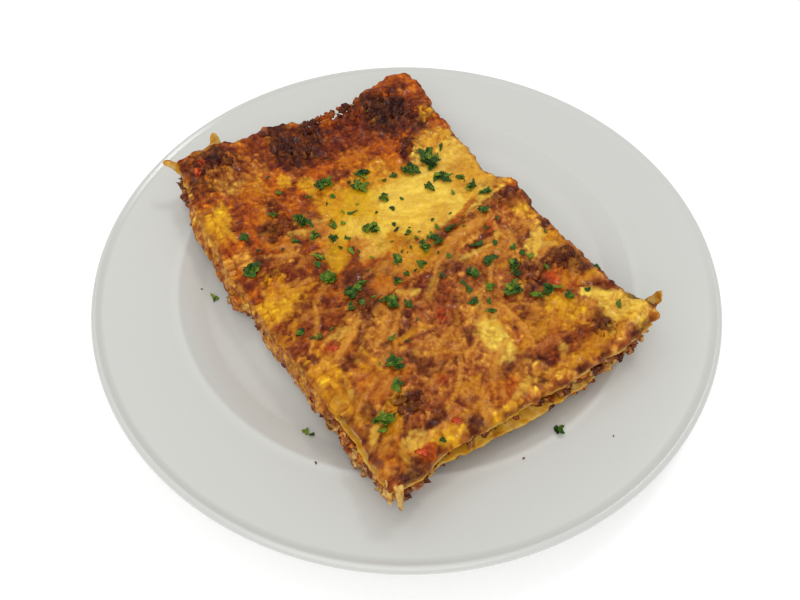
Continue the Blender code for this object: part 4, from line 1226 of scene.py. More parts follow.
    def top(self, a: Array, b: Array) -> Array:
        """Height of the crust's surface above the stack's underside, at places of any shape."""
        flat_a, flat_b = np.ravel(a), np.ravel(b)
        _, grit = self.ground(flat_a, flat_b)
        s = np.clip(flat_a / self.form.half_a, -1.0, 1.0)
        t = np.clip(flat_b / self.form.half_b, -1.0, 1.0)
        height = self.relief(flat_a, flat_b, grit) - self.shoulder(s, t)
        return (self.low + self.thickness + height).reshape(np.shape(a))


@dataclass
class HeightChart:
    """The crust's height read off a fine regular chart, for the many small things that lie on it."""

    crust: Crust
    spacing: float = 0.0006
    half_a: float = 0.070
    half_b: float = 0.100
    heights: Array = field(init=False)
    tints: Array = field(init=False)

    def __post_init__(self) -> None:
        """Works out the chart once."""
        rows = np.arange(-self.half_a, self.half_a, self.spacing)
        columns = np.arange(-self.half_b, self.half_b, self.spacing)
        a, b = np.meshgrid(rows, columns, indexing="ij")
        self.heights = self.crust.top(a, b)
        ground, grit = self.crust.ground(a.reshape(-1), b.reshape(-1))
        tints, _ = self.crust.colour(a.reshape(-1), b.reshape(-1), ground, grit, np.zeros(a.size))
        self.tints = tints.reshape(*a.shape, 3)

    def height(self, a: Array, b: Array) -> Array:
        """Heights above the stack's underside, blended between the four nearest chart points."""
        at_a = np.clip((np.asarray(a) + self.half_a) / self.spacing, 0, self.heights.shape[0] - 2)
        at_b = np.clip((np.asarray(b) + self.half_b) / self.spacing, 0, self.heights.shape[1] - 2)
        row, column = at_a.astype(int), at_b.astype(int)
        share_a, share_b = at_a - row, at_b - column
        near = self.heights[row, column] * (1 - share_b) + self.heights[row, column + 1] * share_b
        far = self.heights[row + 1, column] * (1 - share_b) + self.heights[row + 1, column + 1] * share_b
        return near * (1 - share_a) + far * share_a

    def tint(self, a: Array, b: Array) -> Array:
        """Colours of the nearest chart points."""
        row = np.clip(np.round((a + self.half_a) / self.spacing), 0, self.heights.shape[0] - 1).astype(int)
        column = np.clip(np.round((b + self.half_b) / self.spacing), 0, self.heights.shape[1] - 1).astype(int)
        return self.tints[row, column]


# Toppings


@dataclass(frozen=True)
class Leaf:
    """A chopped piece of parsley, in millimetres: place, half sizes and turn in degrees."""

    b: float
    a: float
    half_b: float
    half_a: float
    turn: float = 0.0
    node: int = 0


LEAVES = tuple(Leaf(*row, number) for number, row in enumerate((
    (38.5, 44, 7.2, 5.2, 10), (26.5, 43, 4.4, 3.2, -30), (37.5, 33, 3.4, 5.6, 15), (-45.5, 27, 4, 5.2, 0),
    (-37.5, 33.5, 4.5, 2.6, 25), (41, 6, 4, 4.4, 20), (48, 11.8, 4.4, 3.4, 35), (16.5, -2.5, 4.8, 4.2, 30),
    (50, -8, 4, 5, 20), (35, -27, 5.8, 3.6, -15), (2, -33, 4.6, 4, -20), (-10, -28, 4, 3.4, 10),
    (-24, -18, 4.2, 2.8, 15), (-49, -32, 4.6, 3.4, -20), (22, -59, 4.2, 4.4, 10), (-66, -48, 5.2, 2.6, 40),
    (-4, 17, 5.4, 2.6, 20), (-6, 10.5, 4.4, 2.2, -5), (-30, 17.5, 4.8, 2.4, -10), (12.5, 50.5, 2, 4.6, 5),
    (24, 34.5, 4, 2.4, -10), (-53, 40, 4, 2.6, -40),
), 1))

FLAKES = tuple(Leaf(*row) for row in (
    (5, 53, 2.4, 3.2, 30), (-4, 43, 1.8, 3.4, 10), (-29, 28, 3.2, 1.6, 20), (29.5, 12, 2.2, 3.2, 10),
    (25, -27, 2.2, 2.8), (27, -35, 2, 1.7), (-42, 9, 2.2, 1.8), (-39, 20, 2, 2.2, -20),
    (21, 50, 2.2, 1.3, 30), (-61, 43, 2.2, 2.8, 20), (14, -31, 2, 2.2), (20, -20, 2.8, 1.4, 35),
    (27, -17, 1.4, 2.2, 20), (44, -37, 1.9, 1.7), (10, -17, 2.4, 1.1, 30), (-28, -13, 1.6, 2.4),
    (-16, -10, 2.4, 1.2, 30), (-5, -3, 2.8, 1.7, 15), (-14, -4, 1.6, 1.3), (43, 54, 2.2, 0.9, 45),
    (-76, 54, 2.2, 1, 45), (-19, 30, 1.8, 2.0), (-22, 36, 1.4, 1.2), (-36, 44, 1.6, 1.4),
    (-28, 41, 1.4, 1.6), (6, 10, 1.8, 1.0), (14, 7.5, 1.3, 1, 20), (10.5, 6.5, 0.8, 1.6, -20),
    (22.5, 12, 1.7, 1.2, -30), (25, 19, 1.2, 0.7, -20), (39, 24, 1.7, 1.6), (39, 18, 0.8, 1.4, 10),
    (46, 3, 1.3, 1.0), (29, -5.5, 0.7, 2.6, 30), (32, -8.5, 1.4, 0.6), (17, -14, 1, 0.8),
    (26, -12, 1.2, 1, -40), (-84, -36, 1.3, 1.2), (-45, 15, 1.2, 1.0), (-48, 12, 2.6, 0.9, -25),
    (-36, 12, 2.6, 1, 10), (-31, 12, 0.9, 1.2), (-13, 4.5, 1, 2.6, -10), (-17, 15, 1.2, 1.2),
    (-8, -22, 2, 1.6), (-18, -28, 2, 1.4), (-56, -36, 1.2, 3.8, -20), (-22, -22, 0.9, 1.2),
    (-38, -27, 0.9, 1.8, 10), (15, 41, 1.8, 0.9, 15), (1, 22, 2.2, 0.8, 15), (6, 23, 0.9, 0.8),
    (1.5, 11, 0.8, 0.8), (-53, 34, 1.2, 2.6, 15), (-63, 51, 1, 1.4, 20), (-44, 46, 2, 1, 20),
    (-33, 42, 1.6, 1, -20), (-28, 60, 1.2, 1, 30), (42, -8, 1.2, 1.3), (14, -20, 1.3, 0.8),
    (18, -15, 1, 0.8), (57, -28, 1.6, 1.2), (30, -15.5, 1.4, 0.7, 10), (-17, -33, 1.4, 2.0),
    (40, -53, 1.6, 2.2), (31, -51, 1, 0.9), (-16, -55, 1.6, 1.8), (-22, -51, 1.4, 1.8), (-11, 46, 1, 0.8),
    (-24, 7, 1.4, 1.0), (-3, 26, 1.4, 2.4), (-56, 63, 2, 0.9), (-70, -51, 1, 1.8, 20),
    (10, -33, 1.6, 1.4, 20),
))

# Bits of red pepper, in millimetres: b, a and half size
PEPPERS = (
    (-80.5, -27.0, 2.4), (-84.0, -43.5, 2.7), (-29.5, -47.5, 2.2), (-67.0, -51.0, 1.2), (-13.5, 42.0, 1.8),
    (80.0, -55.0, 1.4),
)

# Bits on the plate, in millimetres: b, a and half size
PLATE_LEAVES = tuple(Leaf(*row) for row in (
    (-45, -71, 1.6, 1.2, 20), (-47.5, -69.5, 1.2, 0.8, 70), (33, -75.5, 2, 1.2, 30), (-98, 8, 2.4, 1.7, 10),
))
PLATE_CRUMBS = ((-100.0, -10.0, 0.5), (-112.0, 22.0, 0.35), (-60.0, -74.0, 0.45), (40.0, -78.0, 0.4))

# Pale lumps that stick out low on the left side, in millimetres: b, a, height and half width
OUTER_LUMPS = (
    (20.0, -67.0, 6.0, 2.2), (23.0, -68.6, 4.6, 2.0), (18.0, -66.0, 3.4, 1.9), (26.0, -69.2, 3.0, 1.8),
    (21.5, -69.4, 2.6, 1.6), (-70.0, -62.4, 4.0, 1.7), (-74.0, -61.6, 3.0, 1.5), (58.0, -67.6, 3.4, 1.4),
)

# Loose ends, each as stations of b, a and height above the stack's underside, in millimetres
DRIPS = (
    ((-83, -55.5, 17.6), (-87.4, -57.6, 19.4), (-90.6, -58.6, 18.8), (-92.8, -59.2, 14.6), (-94.4, -59.6, 9.4)),
    ((-83, -53.8, 17.6), (-87.6, -56, 19.4), (-90.8, -57.4, 18.6), (-92.6, -58.6, 14), (-93.4, -59, 10.6)),
    ((-82, -57.2, 17), (-86.6, -59.4, 18.8), (-89, -60.6, 17.4), (-90.6, -61.4, 13.6), (-91.2, -61.8, 11.8)),
)
TIPS = (
    ((-80, 54, 13.2), (-81.2, 63.2, 13.2), (-82, 66.4, 16.2), (-82.8, 68, 20), (-83, 68.2, 23.4)),
    ((84, -40, 13.2), (96.6, -40.5, 13.2), (99.1, -39.8, 16.2), (101, -39, 20.6)),
    ((80, -54, 13.2), (86, -58.6, 14.4), (90.6, -62, 17.4), (93.2, -66.6, 21)),
)


@dataclass
class Scatter:
    """Lays small closed shapes on the slice and the plate, and joins each kind into one piece."""

    form: SliceForm
    chart: HeightChart
    rng: np.random.Generator

    def blade(self, b: float, a: float, half_b: float, half_a: float, turn: float, lift: float, rings: int,
              spokes: int, ground: Callable[[Array, Array], Array]) -> tuple[Array, list[Array]]:
        """Makes one blade of a leaf as a closed thin solid.

        Its outline is 1 + noise + three lobes - teeth |sin|. It is folded along its middle, tilted and
        crinkled towards its edge, and stays above the ground.

        Args:
            b: place of its middle along the slice.
            a: place of its middle across the slice.
            half_b: half its length.
            half_a: half its width.
            turn: angle of its length from b towards a, in radians.
            lift: how far it lies above the ground.
            rings: steps from the middle to the edge.
            spokes: steps round.
            ground: gives the ground's height above the stack's underside.

        Returns:
            Points, and faces as arrays.
        """
        rng = self.rng
        angle = np.arange(spokes) * 2.0 * np.pi / spokes
        radius = (np.arange(1, rings + 1) / rings)[:, None]
        seed, phase = rng.integers(0, 9999), rng.uniform(0.0, 2.0 * np.pi)
        round_trip = np.stack([1.1 * np.cos(angle), 1.1 * np.sin(angle), np.full(spokes, 0.37)], 1)
        teeth = rng.integers(6, 10)
        edge = (1.0 + 0.38 * lattice_noise(round_trip + 0.5, int(seed)) + 0.16 * np.cos(3.0 * angle + phase)
                - 0.13 * np.abs(np.sin(0.5 * teeth * angle + phase)))
        off_b, off_a = half_b * edge * np.cos(angle) * radius, half_a * edge * np.sin(angle) * radius
        c, s = math.cos(turn), math.sin(turn)
        place_b, place_a = b + off_b * c - off_a * s, a + off_b * s + off_a * c
        size = math.sqrt(half_a * half_b)
        fold = rng.uniform(0.15, 0.75) * np.abs(off_a)
        tilt = rng.normal(0.0, 0.22) * off_b + rng.normal(0.0, 0.22) * off_a
        crinkle = 0.13 * size * radius**1.5 * np.sin(teeth * angle + phase) * rng.uniform(0.5, 1.3)
        rise = fold + tilt + crinkle
        rise = rise - 0.6 * rise.min()
        floor = ground(place_a, place_b)
        floor = 0.55 * floor + 0.45 * floor.mean()
        floor = np.maximum(floor, ground(place_a, place_b))
        height = floor + lift + 0.00012 + np.clip(rise, 0.0, None)
        thick = 0.00022
        hub_height = height[0].mean()
        lower = self.form.place(place_a, place_b, height).reshape(-1, 3)
        upper = self.form.place(place_a, place_b, height + thick).reshape(-1, 3)
        hub = self.form.place(np.full(2, a), np.full(2, b), np.array([hub_height, hub_height + thick]))
        count = rings * spokes
        here = count - spokes + np.arange(spokes)
        after = np.roll(here, -1)
        under = ring_faces(rings, spokes)
        over = under[:, ::-1] + count
        rim = np.stack([here, count + here, count + after, after], 1)
        fans = [fan_faces(2 * count, 0, spokes), fan_faces(2 * count + 1, count, spokes, True)]
        return np.concatenate([lower, upper, hub]), [under, over, rim, *fans]

    def sprig(self, leaf: Leaf, rings: int, spokes: int,
              ground: Callable[[Array, Array], Array] | None = None) -> list[tuple[Array, list[Array]]]:
        """Makes a chopped leaf from a few overlapping blades spread over its area.

        Args:
            leaf: place and size.
            rings: steps of a blade from its middle to its edge.
            spokes: steps round a blade.
            ground: height of what it lies on; the crust where none is given.

        Returns:
            Points and faces of each blade.
        """
        rng = self.rng
        mean = math.sqrt(leaf.half_a * leaf.half_b)
        blades = 1 if mean < 1.5 else 3 if mean < 2.4 else 9 if mean < 4.4 else 17
        c, s = math.cos(math.radians(leaf.turn)), math.sin(math.radians(leaf.turn))
        made = []
        for number in range(blades):
            spread = 0.0 if blades == 1 else rng.uniform(0.0, 0.78)
            angle = rng.uniform(0.0, 2.0 * np.pi)
            off_b, off_a = spread * leaf.half_b * math.cos(angle), spread * leaf.half_a * math.sin(angle)
            share = 0.95 if blades == 1 else rng.uniform(1.05, 1.65) / math.sqrt(blades)
            turn = math.radians(leaf.turn) + (0.0 if blades == 1 else rng.uniform(0.0, np.pi))
            length, width = share * mean * rng.uniform(1.1, 1.7), share * mean * rng.uniform(0.5, 0.8)
            if blades == 1:
                length, width = leaf.half_b, leaf.half_a
            place_b, place_a = leaf.b + off_b * c - off_a * s, leaf.a + off_b * s + off_a * c
            made.append(self.blade(place_b * MM, place_a * MM, length * MM, width * MM, turn, 0.00015 * number,
                                   rings, spokes, ground or self.chart.height))
        return made

    def lump(self, a: float, b: float, height: float, size: float, flat: float = 0.8,
             rough: float = 0.45) -> tuple[Array, list[Array]]:
        """Makes one uneven crumb: a sphere whose radius varies with soft noise.

        Args:
            a: place along the short side.
            b: place along the long side.
            height: height of its middle above the underside.
            size: radius.
            flat: height as a share of the width.
            rough: how much the radius varies.

        Returns:
            Points, and faces as arrays.
        """
        rings, spokes = 6, 10
        polar = (np.arange(1, rings) * np.pi / rings)[:, None]
        angle = np.arange(spokes) * 2.0 * np.pi / spokes
        flat_x, flat_y = np.sin(polar) * np.cos(angle), np.sin(polar) * np.sin(angle)
        unit = np.stack([flat_x, flat_y, np.cos(polar) + 0.0 * angle], -1)
        unit = np.concatenate([unit.reshape(-1, 3), [[0.0, 0.0, 1.0], [0.0, 0.0, -1.0]]])
        shift = self.rng.uniform(0.0, 50.0, 3)
        coarse, fine = lattice_noise(unit * 1.3 + shift, 3), lattice_noise(unit * 3.1 + shift, 4)
        radius = size * (1.0 + rough * coarse + 0.4 * rough * fine)
        turn = self.rng.uniform(0.0, np.pi)
        long, wide = self.rng.uniform(1.0, 1.5), self.rng.uniform(0.65, 1.0)
        local = unit * radius[:, None] * np.array([long, wide, flat])
        off_a = local[:, 0] * math.cos(turn) - local[:, 1] * math.sin(turn)
        off_b = local[:, 0] * math.sin(turn) + local[:, 1] * math.cos(turn)
        points = self.form.place(a + off_a, b + off_b, height + local[:, 2])
        last = (rings - 2) * spokes
        top = last + spokes
        fans = [fan_faces(top, 0, spokes, True), fan_faces(top + 1, last, spokes)]
        return points, [ring_faces(rings - 1, spokes, True), *fans]

    @staticmethod
    def join(name: str, parts: list[tuple[Array, list[Array]]], tints: list[Array], wet: float,
             finish: bpy.types.Material) -> bpy.types.Object:
        """Joins closed shapes into one object, with one colour, or one for each point, for each shape."""
        starts = np.concatenate([[0], np.cumsum([len(points) for points, _ in parts])[:-1]]).astype(int)
        points = np.concatenate([points for points, _ in parts])
        faces = [face + start for (_, part_faces), start in zip(parts, starts) for face in part_faces]
        made = make_object(name, points, faces, finish)
        colours = [np.broadcast_to(tint, (len(part[0]), 3)) for tint, part in zip(tints, parts)]
        paint(made, "tint", np.concatenate(colours))
        paint(made, "wet", np.full(len(points), wet))
        return made

    @staticmethod
    def mottled(base: Array, points: Array, size: float, strength: float, seed: int = 6) -> Array:
        """Colours a crumb: one colour, browned a little more and less by soft noise."""
        mottle = fractal(points[:, 0], points[:, 1], size, 2, seed, points[:, 2])
        return browned(np.tile(base, (len(points), 1)), strength * mottle)

    def green(self, points: Array) -> Array:
        """Colours a blade: a green of its own, from deep to bright, mottled along it."""
        deep, mid, bright = to_linear((22, 50, 6)), to_linear((58, 98, 14)), to_linear((128, 144, 22))
        x, y, z = points.T
        share = self.rng.beta(1.7, 1.9) + 0.30 * fractal(x, y, 0.0014, 2, 8, z)
        at = (0.0, 0.55, 1.0)
        return np.stack([np.interp(share, at, (deep[k], mid[k], bright[k])) for k in range(3)], -1)

    def parsley(self, finish: bpy.types.Material) -> None:
        """Lays the large leaves, which stand for their nodes, and the small flakes."""
        large = [blade for leaf in LEAVES for blade in self.sprig(leaf, 6, 26)]
        piece = self.join("parsley_leaves", large, [self.green(part[0]) for part in large], 0.5, finish)
        settle(piece, "parsley", *(f"parsley_{leaf.node}" for leaf in LEAVES))
        small = [blade for leaf in FLAKES for blade in self.sprig(leaf, 4, 16)]
        for _ in range(46):
            b, a = self.rng.normal(8.0, 34.0), self.rng.normal(4.0, 22.0)
            if abs(a) < 56.0 and abs(b) < 84.0:
                half = self.rng.uniform(0.25, 0.55)
                small.extend(self.sprig(Leaf(b, a, 2.4 * half, half, self.rng.uniform(0.0, 180.0)), 3, 10))
        piece = self.join("parsley_flakes", small, [self.green(part[0]) for part in small], 0.5, finish)
        settle(piece, "parsley")

    def peppers(self, finish: bpy.types.Material) -> None:
        """Sinks the bits of red pepper into the crust."""
        parts, tints = [], []
        for b, a, half in PEPPERS:
            for _ in range(2):
                near_b, near_a = b + self.rng.normal(0.0, 0.25 * half), a + self.rng.normal(0.0, 0.25 * half)
                height = float(self.chart.height(np.array([near_a * MM]), np.array([near_b * MM]))[0])
                part = self.lump(near_a * MM, near_b * MM, height - 0.0003, 0.62 * half * MM, 0.40, 0.8)
                parts.append(part)
                tints.append(self.mottled(to_linear((184, 60, 12)), part[0], 0.0016, 0.9, 5))
        settle(self.join("pepper_bits", parts, tints, 0.9, finish), "cheese_crust")

    def mince(self, finish: bpy.types.Material, count: int = 520) -> None:
        """Sets browned crumbs of mince, at most count of them, into the crags of the crust."""
        parts, tints = [], []
        tries = 16 * count
        spots_a = self.rng.uniform(-0.059, 0.061, tries)
        spots_b = self.rng.uniform(-0.087, 0.0905, tries)
        keep = self.rng.uniform(0.35, 1.3, tries) < self.chart.crust.crag_share(spots_a, spots_b)
        heights = self.chart.height(spots_a, spots_b)
        colours = self.chart.tint(spots_a, spots_b)
        for index in np.flatnonzero(keep)[:count]:
            size = self.rng.uniform(0.0007, 0.0017)
            part = self.lump(spots_a[index], spots_b[index], heights[index] - 0.45 * size, size, 0.75, 0.8)
            base = colours[index] * self.rng.uniform(0.75, 1.35) + (0.006, 0.003, 0.001)
            parts.append(part)
            tints.append(self.mottled(base, part[0], 0.0012, 0.5))
        settle(self.join("browned_crumbs", parts, tints, 0.6, finish), "cheese_crust")

    def side_crumbs(self, layers: list[Layer], grid: SlabGrid, finish: bpy.types.Material) -> None:
        """Sets lumps of mince and sauce into the sides of the sauce layers, all round the slice."""
        s, t = grid.ring()
        parts, tints = [], []
        tones = ((112, 60, 34), (152, 80, 36), (172, 114, 66), (208, 164, 98), (200, 122, 40), (126, 72, 44))
        plate = Plate()
        for layer in layers:
            a, b = self.form.outline(s[None], t[None], layer.trim, layer.sway)
            out_a, out_b = Layer.outward(a, b)
            for index in self.rng.choice(grid.around, 430, replace=False):
                size = self.rng.uniform(0.0007, 0.0021)
                height = layer.low + layer.thickness * self.rng.uniform(-0.15, 1.15)
                reach = self.rng.uniform(-0.6, 0.25) * size
                if layer is layers[-1] and t[index] < -0.999:
                    height, reach = layer.low + layer.thickness * self.rng.uniform(0.0, 0.6), reach + 0.0012
                near_a, near_b = a[0, index] + reach * out_a[0, index], b[0, index] + reach * out_b[0, index]
                part = self.lump(near_a, near_b, height, size, 0.75, 0.9)
                floor = plate.top(np.hypot(part[0][:, 0], part[0][:, 1])) + 0.0001
                part[0][:, 2] = np.maximum(part[0][:, 2], floor)
                tone = to_linear(tones[self.rng.choice(6, p=(0.14, 0.22, 0.24, 0.16, 0.12, 0.12))])
                parts.append(part)
                tints.append(self.mottled(tone, part[0], 0.0014, 0.6))
        for b, a, height, half in OUTER_LUMPS:
            part = self.lump(a * MM, b * MM, height * MM, half * MM, 0.8, 0.8)
            mottle = fractal(part[0][:, 0], part[0][:, 1], 0.0018, 3, 6, part[0][:, 2])
            parts.append(part)
            tints.append(browned(np.tile(to_linear((198, 160, 98)), (len(part[0]), 1)), 0.3 + 1.2 * mottle))
        settle(self.join("side_crumbs", parts, tints, 0.7, finish), "ragu")

    def on_plate(self, green: bpy.types.Material, mince: bpy.types.Material) -> None:
        """Drops a few bits of parsley and mince on the plate beside the slice."""
        def plate_top(a: Array, b: Array) -> Array:
            """Height of the plate above the stack's underside."""
            x, y = self.form.to_plate(a, b)
            return Plate().top(np.hypot(x, y)) - self.form.bend(a, b)

        blades = [blade for leaf in PLATE_LEAVES for blade in self.sprig(leaf, 4, 16, plate_top)]
        piece = self.join("plate_parsley", blades, [self.green(part[0]) for part in blades], 0.5, green)
        settle(piece, "parsley")
        parts, tints = [], []
        for b, a, half in PLATE_CRUMBS:
            height = float(plate_top(np.array([a * MM]), np.array([b * MM]))[0])
            part = self.lump(a * MM, b * MM, height + 0.5 * half * MM, half * MM, 0.55, 0.6)
            floor = Plate().top(np.hypot(part[0][:, 0], part[0][:, 1])) + 0.00005
            part[0][:, 2] = np.maximum(part[0][:, 2], floor)
            parts.append(part)
            tints.append(RUSSET.linear)
        settle(self.join("plate_crumbs", parts, tints, 0.7, mince), "ragu")


@dataclass
class Ribbon:
    """A strip of cheese or pasta along stations of b, a and height, in millimetres, as one closed tube."""

    stations: tuple
    width: float
    thickness: float
    narrowing: float = 0.0
    seed: int = 7
    spokes: int = 14
    steps: int = 30

    def build(self, form: SliceForm) -> tuple[Array, list[Array]]:
        """Sweeps a flat rounded section along a soft line through the stations and closes both ends."""
        place = np.linspace(0.0, len(self.stations) - 1.0, self.steps)
        number = np.arange(len(self.stations))
        line = np.stack([np.interp(place, number, values) for values in zip(*self.stations)], 1) * MM
        for _ in range(3):
            line[1:-1] = 0.25 * line[:-2] + 0.5 * line[1:-1] + 0.25 * line[2:]
        run = np.gradient(line, axis=0)
        run /= np.linalg.norm(run, axis=1)[:, None] + 1e-12
        across = np.stack([-run[:, 1], run[:, 0], np.zeros(len(run))], 1)
        across /= np.linalg.norm(across, axis=1)[:, None] + 1e-12
        up = np.cross(run, across)
        up *= np.sign(up[:, 2] + 1e-9)[:, None]
        share = np.linspace(-1.0, 1.0, self.steps)
        taper = (1.0 - 0.5 * np.abs(share) ** 14) * (1.0 - self.narrowing * share)
        taper = taper * (1.0 + 0.30 * fractal(share, 0.0 * share, 0.30, 3, self.seed))
        angle = np.arange(self.spokes) * 2.0 * np.pi / self.spokes
        section_w = 0.5 * self.width * MM * np.sign(np.cos(angle)) * np.abs(np.cos(angle)) ** 0.7
        section_h = 0.5 * self.thickness * MM * np.sign(np.sin(angle)) * np.abs(np.sin(angle)) ** 0.8
        body = (line[:, None] + across[:, None] * (section_w * taper[:, None])[..., None]
                + up[:, None] * (section_h * taper[:, None])[..., None])
        body = np.concatenate([body.reshape(-1, 3), line[[0]], line[[-1]]])
        lumps = fractal(body[:, 0], body[:, 1], 0.0016, 3, self.seed, body[:, 2])
        uneven = 0.22 * self.thickness * MM * lumps
        points = form.place(body[:, 1] + uneven, body[:, 0] + uneven, body[:, 2] + uneven)
        count = self.steps * self.spokes
        return points, [ring_faces(self.steps, self.spokes, True), fan_faces(count, 0, self.spokes, True),
                        fan_faces(count + 1, count - self.spokes, self.spokes)]

    @staticmethod
    def tint(points: Array, seed: int = 7) -> Array:
        """Colours the strip: pale, golden in patches and toasted in spots."""
        x, y, z = points.T
        gold = smooth(-0.25, 0.35, fractal(x, y, 0.0040, 3, seed + 1, z))[:, None]
        colour = to_linear((222, 184, 92)) * (1.0 - gold) + to_linear((208, 146, 40)) * gold
        toast = fractal(x, y, 0.0022, 3, seed + 2, z)
        return browned(colour, 0.25 + 1.1 * smooth(0.08, 0.5, toast) + 0.25 * toast)


@dataclass
class HangingCoat:
    """Melted cheese and sauce that the cut has smeared down the left side to near the plate."""

    form: SliceForm
    crust: Crust
    start: float = -0.055
    end: float = 0.076
    columns: int = 330
    rows: int = 44
    depth: float = 0.0016
    turn_share: float = 0.30
    calm_reach: int = 27
    seam_spacing: float = 0.0042
    seam_width: float = 0.0005
    seed: int = 90

    @property
    def shoulder(self) -> float:
        """Height above the stack's underside at which the coat has turned over the edge."""
        return self.crust.low + 0.55 * self.crust.thickness

    def lowest(self, b: Array) -> Array:
        """Height of the ragged lower edge above the stack's underside, at places along the side."""
        ragged = 0.0065 + 0.0055 * fractal(b, 0.0 * b, 0.016, 2, self.seed)
        ragged = ragged + 0.0030 * fractal(b, 0.0 * b, 0.004, 3, self.seed + 1)
        ends = smooth(self.start, self.start + 0.014, b) * smooth(self.end, self.end - 0.014, b)
        return np.clip(ragged, 0.0006, 0.0130) * ends + 0.0150 * (1.0 - ends)

    def sway(self, along: Array, down: Array) -> Array:
        """The crust's ragged edge, which grows calmer on the way down."""
        ragged = self.crust.sway(LEFT, along.reshape(-1))
        window = np.hanning(self.calm_reach)
        padded = np.pad(ragged, self.calm_reach // 2, mode="edge")
        calm = np.convolve(padded, window / window.sum(), mode="valid")
        settled = smooth(0.05, 0.40, down)
        return ragged[None, :] * (1.0 - settled) + calm[None, :] * settled

    def drape(self, along: Array, down: Array, edge: Array) -> tuple[Array, Array]:
        """Hangs the coat over the crust's edge.

        A column starts just under the crust's surface, turns over the edge along a quarter ellipse and runs
        down to the lower edge, reaching out as far as the slumped layers behind it.

        Args:
            along: places along the side, as a row.
            down: share of the way down, as a column.
            edge: places of the crust's edge across the slice.

        Returns:
            Heights above the stack's underside, and how far across from the edge each point lies.
        """
        turning = down < self.turn_share
        turned = np.clip(down / self.turn_share, 0.0, 1.0) * np.pi / 2.0
        top_height = self.crust.top(edge + 0.0035, along + 0.0 * down) - 0.0002
        low = self.lowest(along.reshape(-1))[None, :]
        fall = np.clip((down - self.turn_share) / (1.0 - self.turn_share), 0.0, 1.0)
        height = np.where(turning, self.shoulder + (top_height - self.shoulder) * np.cos(turned),
                          self.shoulder + (low - self.shoulder) * fall)
        share = np.interp(height, (0.002, 0.006, 0.010, 0.013, 0.016), (0.90, 1.0, 0.75, 0.5, 0.2))
        slump = np.where(turning, 0.0, share) * between(self.form.left_slump, along)
        return height, 0.0035 - 0.0043 * np.sin(turned) - slump

    def smear(self, b: Array, height: Array) -> Array:
        """Colours of the drawn-down cheese and sauce, with the thin pale seams of two sheets."""
        blotch = fractal(b, height, 0.0065, 4, self.seed + 4).reshape(-1)
        colour = Crust.ramp((BARK, ROSE, TAN, GREIGE, PALE), 0.48 + 0.80 * blotch)
        off = height - (0.0105 + 0.0012 * fractal(b, 0.0 * height, 0.022, 2, self.seed + 6))
        line = sum(np.exp(-(((off + down) / self.seam_width) ** 2)) for down in (0.0, self.seam_spacing))
        line = 0.8 * line * smooth(-0.3, 0.2, fractal(b, height, 0.014, 2, self.seed + 7))
        line = line.reshape(-1)[:, None]
        return colour * (1.0 - line) + SHEET.linear * line

    def build(self, finish: bpy.types.Material) -> bpy.types.Object:
        """Builds the coat as a closed skin: an outer face over the side and an inner one sunk into it."""
        along = np.linspace(self.start, self.end, self.columns)[None, :]
        down = np.linspace(0.0, 1.0, self.rows)[:, None]
        b = along + 0.0 * down
        edge = -(self.form.half_a + between(self.form.left, along) + self.sway(along, down))
        height, out = self.drape(along, down, edge)
        swell = (0.0011 * fractal(b, height, 0.0060, 3, self.seed + 2)
                 + 0.0003 * fractal(b, 0.6 * height, 0.0020, 2, self.seed + 3))
        thin = smooth(0.0, 0.08, down) * smooth(1.0, 0.90, down)
        a = edge + out - (swell + 0.0004) * thin
        outer = self.form.place(a, b, height).reshape(-1, 3)
        sunk = self.form.place(a + self.depth * (0.15 + thin), b, height - 0.0004 * thin).reshape(-1, 3)
        number = np.arange(self.rows * self.columns).reshape(self.rows, self.columns)
        face = grid_faces(number)
        border = np.concatenate([number[0, :-1], number[:-1, -1], number[-1, :0:-1], number[:0:-1, 0]])
        beyond = np.roll(border, -1)
        count = number.size
        rim = np.stack([border, beyond, beyond + count, border + count], 1)
        faces = [face, face[:, ::-1] + count, rim]
        made = make_object("hanging_cheese", np.concatenate([outer, sunk]), faces, finish)
        near_a, near_b = (edge + 0.0030 - 0.9 * (self.shoulder - height)).reshape(-1), b.reshape(-1)
        ground, grit = self.crust.ground(near_a, near_b)
        mix = (0.85 * smooth(0.14, 0.36, down) + 0.0 * b).reshape(-1)[:, None]
        blend = ground * (1.0 - mix) + self.smear(b, height) * mix
        # Painted shade where the coat is sunk and a painted highlight where it swells out.
        colour, oil = self.crust.colour(near_a, near_b, blend, grit, -(swell / 1.4).reshape(-1))
        paint(made, "tint", np.concatenate([colour, colour]))
        paint(made, "wet", np.concatenate([oil, oil]))
        settle(made, "cheese_crust")
        return made


# Stage


@dataclass(frozen=True)
class Lamp:
    """A soft square light that looks at the plate's middle: place and size in metres, power in watts."""

    name: str
    place: tuple[float, float, float]
    size: float
    power: float

    def hang(self) -> None:
        """Adds the light to the scene."""
        light = bpy.data.lights.new(self.name, "AREA")
        light.size = self.size
        light.energy = self.power
        lamp = bpy.data.objects.new(self.name, light)
        lamp.location = self.place
        x, y, z = self.place
        lamp.rotation_euler = (math.atan2(math.hypot(x, y), z), 0.0, math.atan2(x, -y))
        bpy.context.scene.collection.objects.link(lamp)


LAMPS = (Lamp("key", (-0.35, 0.35, 1.3), 1.1, 3.0), Lamp("glint", (0.35, 0.45, 1.0), 0.20, 1.8),
         Lamp("fill", (-0.15, -0.75, 1.1), 1.2, 8.4))


